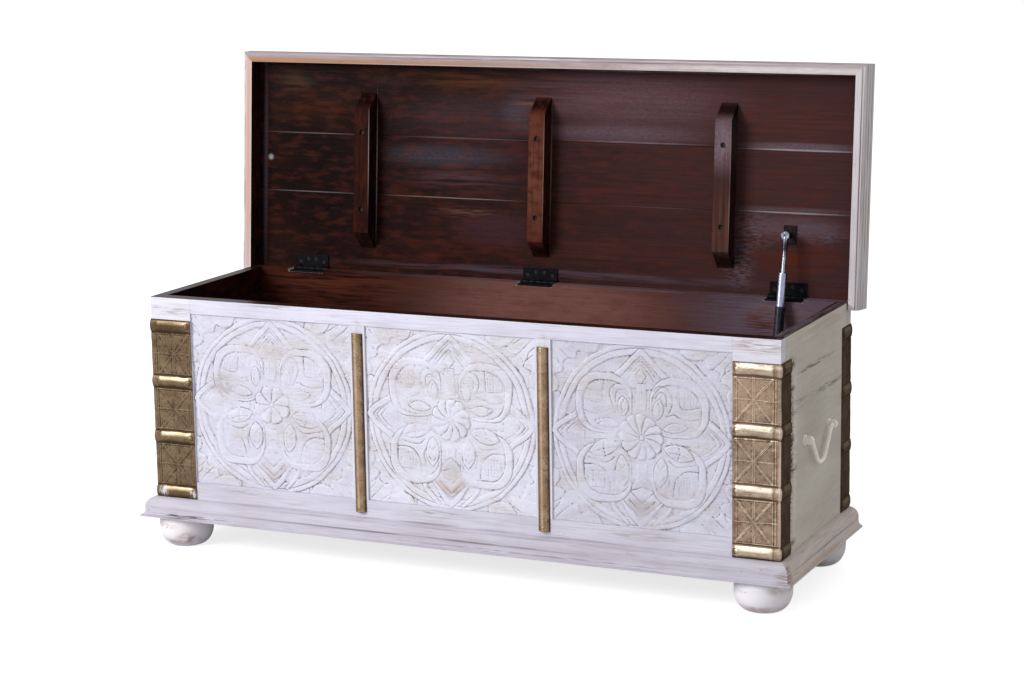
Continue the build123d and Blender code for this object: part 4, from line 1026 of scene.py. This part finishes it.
# limewashed boards: name of the finish, axis of the grain, pieces, look
limewashed = [
    ("topRail", "x", ["front_top_rail"], {"tone": "#FAFAFF", "inside": [frontIn, topIn], "marks": frontMarks}),
    ("lowRail", "x", ["front_bottom_rail"], {"tone": "#EEEDEF", "inside": [frontIn], "marks": lowMarks}),
    ("stile", "x", boards["stiles"], {"inside": [frontIn, topIn], "marks": frontMarks}),
    ("muntin", "z", boards["muntins"], {"inside": [frontIn], "wear": 1.2}),
    # tone: the warm beige of the end boards, and below of the back board, plinth ends and side rims, is a
    # painted warm shade for faces turned from the lamp; their paint is the front's
    ("endRight", "y", boards["ends"][1:], {
        "tone": "#EBE5CE", "wear": 0.4, "inside": [("x", 556.0, 555.4), topIn], "marks": endMarks,
        # painted sheen: the grey-violet line on the side board's dark top edge
        "insideMarks": marksOn("z", [(446, 2.0, "#6F656C", 0.8, "long")])}),
    ("endLeft", "y", boards["ends"][:1], {
        "tone": "#EBE5CE", "wear": 0.4, "inside": [("x", -556.0, -555.4), topIn]}),
    # tone: painted warm shade, as for the end boards
    ("back", "x", ["back_board"], {
        "tone": "#EEE4D8", "inside": [("y", 163.6, 163.1), topIn], "insideMarks": wallMarks}),
    ("plinth", "x", ["plinth_front", "plinth_back"], {"tone": "#E0DDDF", "wear": 1.1, "marks": plinthMarks}),
    # tone: painted warm shade, as for the end boards
    ("plinthEnd", "y", boards["plinthEnds"], {"tone": "#F0E4D4", "wear": 1.2, "marks": plinthEndMarks}),
    # tone: with the feet's near-white marks, painted light from the floor
    ("bunFoot", "x", feet, {"tone": "#FFFBFA", "wear": 0.8, "marks": footMarks}),
    ("lidRimFront", "x", ["lid_rim_front"], {
        "tone": "#CDC0BC", "wear": 1.5, "onLid": True, "inside": [("y", -379.8, -379.2)],
        "marks": rimFrontMarks}),
    # tone: painted warm shade, as for the end boards
    ("lidRimSide", "y", boards["rims"], {
        "tone": "#F2ECE6", "wear": 1.4, "onLid": True, "inside": [("fromMiddle", 577.2, 576.8)],
        "marks": rimSideMarks}),
]
finishes = [(paintedBoard("limewashedMango_" + name, axis, **look), pieces)
            for name, axis, pieces, look in limewashed]
finishes += [
    (paintedBoard("walnutStain_lidPlank", "x", onLid=True, inside=[("z", 8.5, 7.5)], insideMarks=lidMarks),
     planks),
    (stainedBoard("walnutStain_batten", "y", onLid=True, marks=battenMarks), battens),
    (stainedBoard("walnutStain_bottom", "x"), ["bottom_board"]),
    (metalFinish("brassNail", "#A08660", "#5C4830", 0.4, 1.0), ["brass_nails"]),
    (metalFinish("creamPaintedIron", "#FFF8EF", "#DCD2C8", 0.35, 0.0, 0.2, 3.0),
     [part + end for part in ("handle_eyes_", "bail_") for end in ends]),
    (metalFinish("blackJapannedIron", "#08090D", "#15161C", 0.35, 0.0, 0.3, 2.0, level=0.06),
     [*hinges, "hinge_pins"]),
    (metalFinish("blackenedScrewSteel", "#2A2624", "#161413", 0.4, 1.0), ["carcass_screws", "lid_screws"]),
    (metalFinish("beechDowel", "#B98F62", "#94693F", 0.7, 0.0), ["foot_dowels"]),
    (metalFinish("blackLacqueredTube", "#1E1F26", "#3A3C48", 0.22, 0.0, 0.2, level=0.2),
     ["stay_tube", "stay_lower_bracket"]),
    (metalFinish("blackenedStudPlate", "#1E1517", "#120C0D", 0.4, 0.0, 0.3, level=0.08), ["stay_upper_stud"]),
    (metalFinish("zincPlatedSleeve", "#989DB4", "#5C6178", 0.25, 1.0, 0.2), ["stay_sleeve", "stay_lower_pin"]),
    (metalFinish("chromedRod", "#969AA4", "#5E636E", 0.16, 1.0, 0.15,
                 marks=marksOn("z", [(534, 20, "#1E2222", 0.95), (558, 9, "#737780", 0.85)])), ["stay_rod"]),
]
for finish, pieces in finishes:
    for name in pieces:
        for slot in nodes[name].material_slots:
            slot.material = finish
sheetBrass = {
    "right": brassFinish("agedBrass_right", "#97826F", "#7A6758", "#41301F", "#E9DCC6", brassMarks),
    "left": brassFinish("agedBrass_left", "#7A6852", "#5E4D3B", "#30241A", "#B8A687", brassMarks, 0.3),
}
stripBrass = brassFinish("agedBrass_strip", "#98826D", "#76614C", "#3C2C1F", "#BBA688", stripMarks, 0.2)
for name, sheet in corners.items():
    sheet.data.materials.append(sheetBrass[name.split("_")[1]])
for bar in strips:
    bar.data.materials.append(stripBrass)
carvedMarks = {
    "left": [(-100, 30, 44, 30, "#9A8C84", 0.5, "cloud"), (-20, 100, 60, 24, "#C6B4A6", 0.5, "cloud")],
    "centre": [(0, -82, 30, 22, "#B5ABA3", 0.5, "mist"), (28, -2, 14, 20, "#8A8272", 0.6, "cloud"),
               (0, 122, 50, 22, "#A9A6A0", 0.5, "cloud")],
    "right": [(40, -92, 26, 14, "#B59A85", 0.5, "cloud"), (0, -112, 26, 20, "#9C948E", 0.5, "mist"),
              (-105, 15, 16, 14, "#8F7A6C", 0.6, "cloud"), (60, 60, 80, 50, "#BDBBBC", 0.4, "cloud"),
              # painted shadow: the blue-grey line along the right panel's edge beside the corner brass and the
              # blue-grey band low on its right
              (153, -10, 5, 140, "#77747F", 0.75, "long"), (90, -128, 80, 14, "#A7A6B2", 0.45, "cloud")],
}
for place, kind in panelKinds.items():
    moved = marksOn("xz", [(x + kind["x"], z + carving["midZ"], *rest) for x, z, *rest in carvedMarks[place]])
    reliefs[place].data.materials.append(carvedFinish("limewashedCarving_" + place, kind["tone"], moved))
print("finishes made and laid on")

# millimetres taken off each piece's sharp edges
easedEdges = {
    0.8: ["front_top_rail", "front_bottom_rail", "back_board",
          *boards["stiles"], *boards["muntins"], *boards["ends"]],
    1.2: battens,
    0.5: [*planks, "lid_rim_front", *boards["rims"], "plinth_front", *boards["plinthEnds"]],
    0.3: hinges,
}
weldReach = 0.02  # millimetres
sharpAngle = math.radians(50)
for width, names in easedEdges.items():
    for name in names:
        weld = nodes[name].modifiers.new("joinTriangles", "WELD")
        weld.merge_threshold = weldReach / 1000
        bevel = nodes[name].modifiers.new("easedEdges", "BEVEL")
        bevel.width, bevel.segments = width / 1000, 2
        bevel.limit_method, bevel.angle_limit = "ANGLE", sharpAngle
        bevel.use_clamp_overlap = True
print("edges eased")

stage = {
    "floorHalf": 60.0,  # metres, so wide that no edge shows
    "sky": 0.53,
    "key": 158.0,
    "keyAt": (-2.6, -3.4, 2.5),
    "keySize": 2.0,
    "keyAim": (0, 0, 0.3),
    "keyColour": (0.97, 0.97, 1.0),
    "paper": "#D6D6D6",
    "seenLift": 0.76,  # added where camera, glossy and transmission rays meet the floor
}
view = {
    "azimuth": 24.672,
    "elevation": 10.969,
    "roll": -0.858,
    "target": (0.0311, 0.0, 0.3739),
    "distance": 4.2406,
    "lens": 87.09,
    "sensor": 36.0,
}


def seenRays(tree):
    rays = addNode(tree, "LightPath").outputs
    return combined(tree, "MAXIMUM", rays["Is Camera Ray"], rays["Is Glossy Ray"], rays["Is Transmission Ray"])


def skyWorld():
    world = bpy.data.worlds.new("whiteStudio")
    bpy.context.scene.world = world
    world.use_nodes = True
    tree = world.node_tree
    tree.nodes.clear()
    strength = weigh(tree, [(seenRays(tree), 1.0 - stage["sky"])], stage["sky"])
    back = addNode(tree, "Background", {"Color": (1, 1, 1, 1), "Strength": strength})
    addNode(tree, "OutputWorld", {0: back.outputs[0]})


def whiteFloor():
    half = stage["floorHalf"]
    mesh = bpy.data.meshes.new("studioFloor")
    square = [(-half, -half, 0), (half, -half, 0), (half, half, 0), (-half, half, 0)]
    mesh.from_pydata(square, [], [(0, 1, 2, 3)])
    floor = bpy.data.objects.new("studioFloor", mesh)
    bpy.context.scene.collection.objects.link(floor)
    material, tree = startFinish("whitePaperFloor")
    paper = addNode(tree, "BsdfDiffuse", {"Color": toLinear(stage["paper"])})
    seen = both(tree, seenRays(tree), stage["seenLift"])
    glow = addNode(tree, "Emission", {"Color": (1, 1, 1, 1), "Strength": seen})
    total = addNode(tree, "AddShader", {0: paper.outputs[0], 1: glow.outputs[0]})
    addNode(tree, "OutputMaterial", {0: total.outputs[0]})
    mesh.materials.append(material)


def keyLamp():
    # a soft square lamp on the viewer's left, turned so that its own -Z points at the chest
    lamp = bpy.data.lights.new("keyLight", "AREA")
    lamp.shape, lamp.size = "SQUARE", stage["keySize"]
    lamp.energy, lamp.color = stage["key"], stage["keyColour"]
    key = bpy.data.objects.new("keyLight", lamp)
    key.location = stage["keyAt"]
    away = Vector(stage["keyAim"]) - Vector(stage["keyAt"])
    key.rotation_euler = away.to_track_quat("-Z", "Y").to_euler()
    bpy.context.scene.collection.objects.link(key)


def chestCamera():
    # back points from the target to the camera; right and up are turned about it by the roll
    a, e, r = (math.radians(view[key]) for key in ("azimuth", "elevation", "roll"))
    back = Vector((math.sin(a) * math.cos(e), -math.cos(a) * math.cos(e), math.sin(e)))
    right = Vector((math.cos(a), math.sin(a), 0))
    up = back.cross(right)
    x = right * math.cos(r) + up * math.sin(r)
    y = up * math.cos(r) - right * math.sin(r)
    camera = bpy.data.objects.new("chestCamera", bpy.data.cameras.new("chestCamera"))
    camera.data.lens, camera.data.sensor_width = view["lens"], view["sensor"]
    camera.matrix_world = Matrix.Translation(Vector(view["target"]) + back * view["distance"]) @ Matrix(
        (x, y, back)).transposed().to_4x4()
    bpy.context.scene.collection.objects.link(camera)
    bpy.context.scene.camera = camera


skyWorld()
whiteFloor()
keyLamp()
chestCamera()
bpy.context.scene.view_settings.view_transform = "Standard"
print("stage, light and camera made")
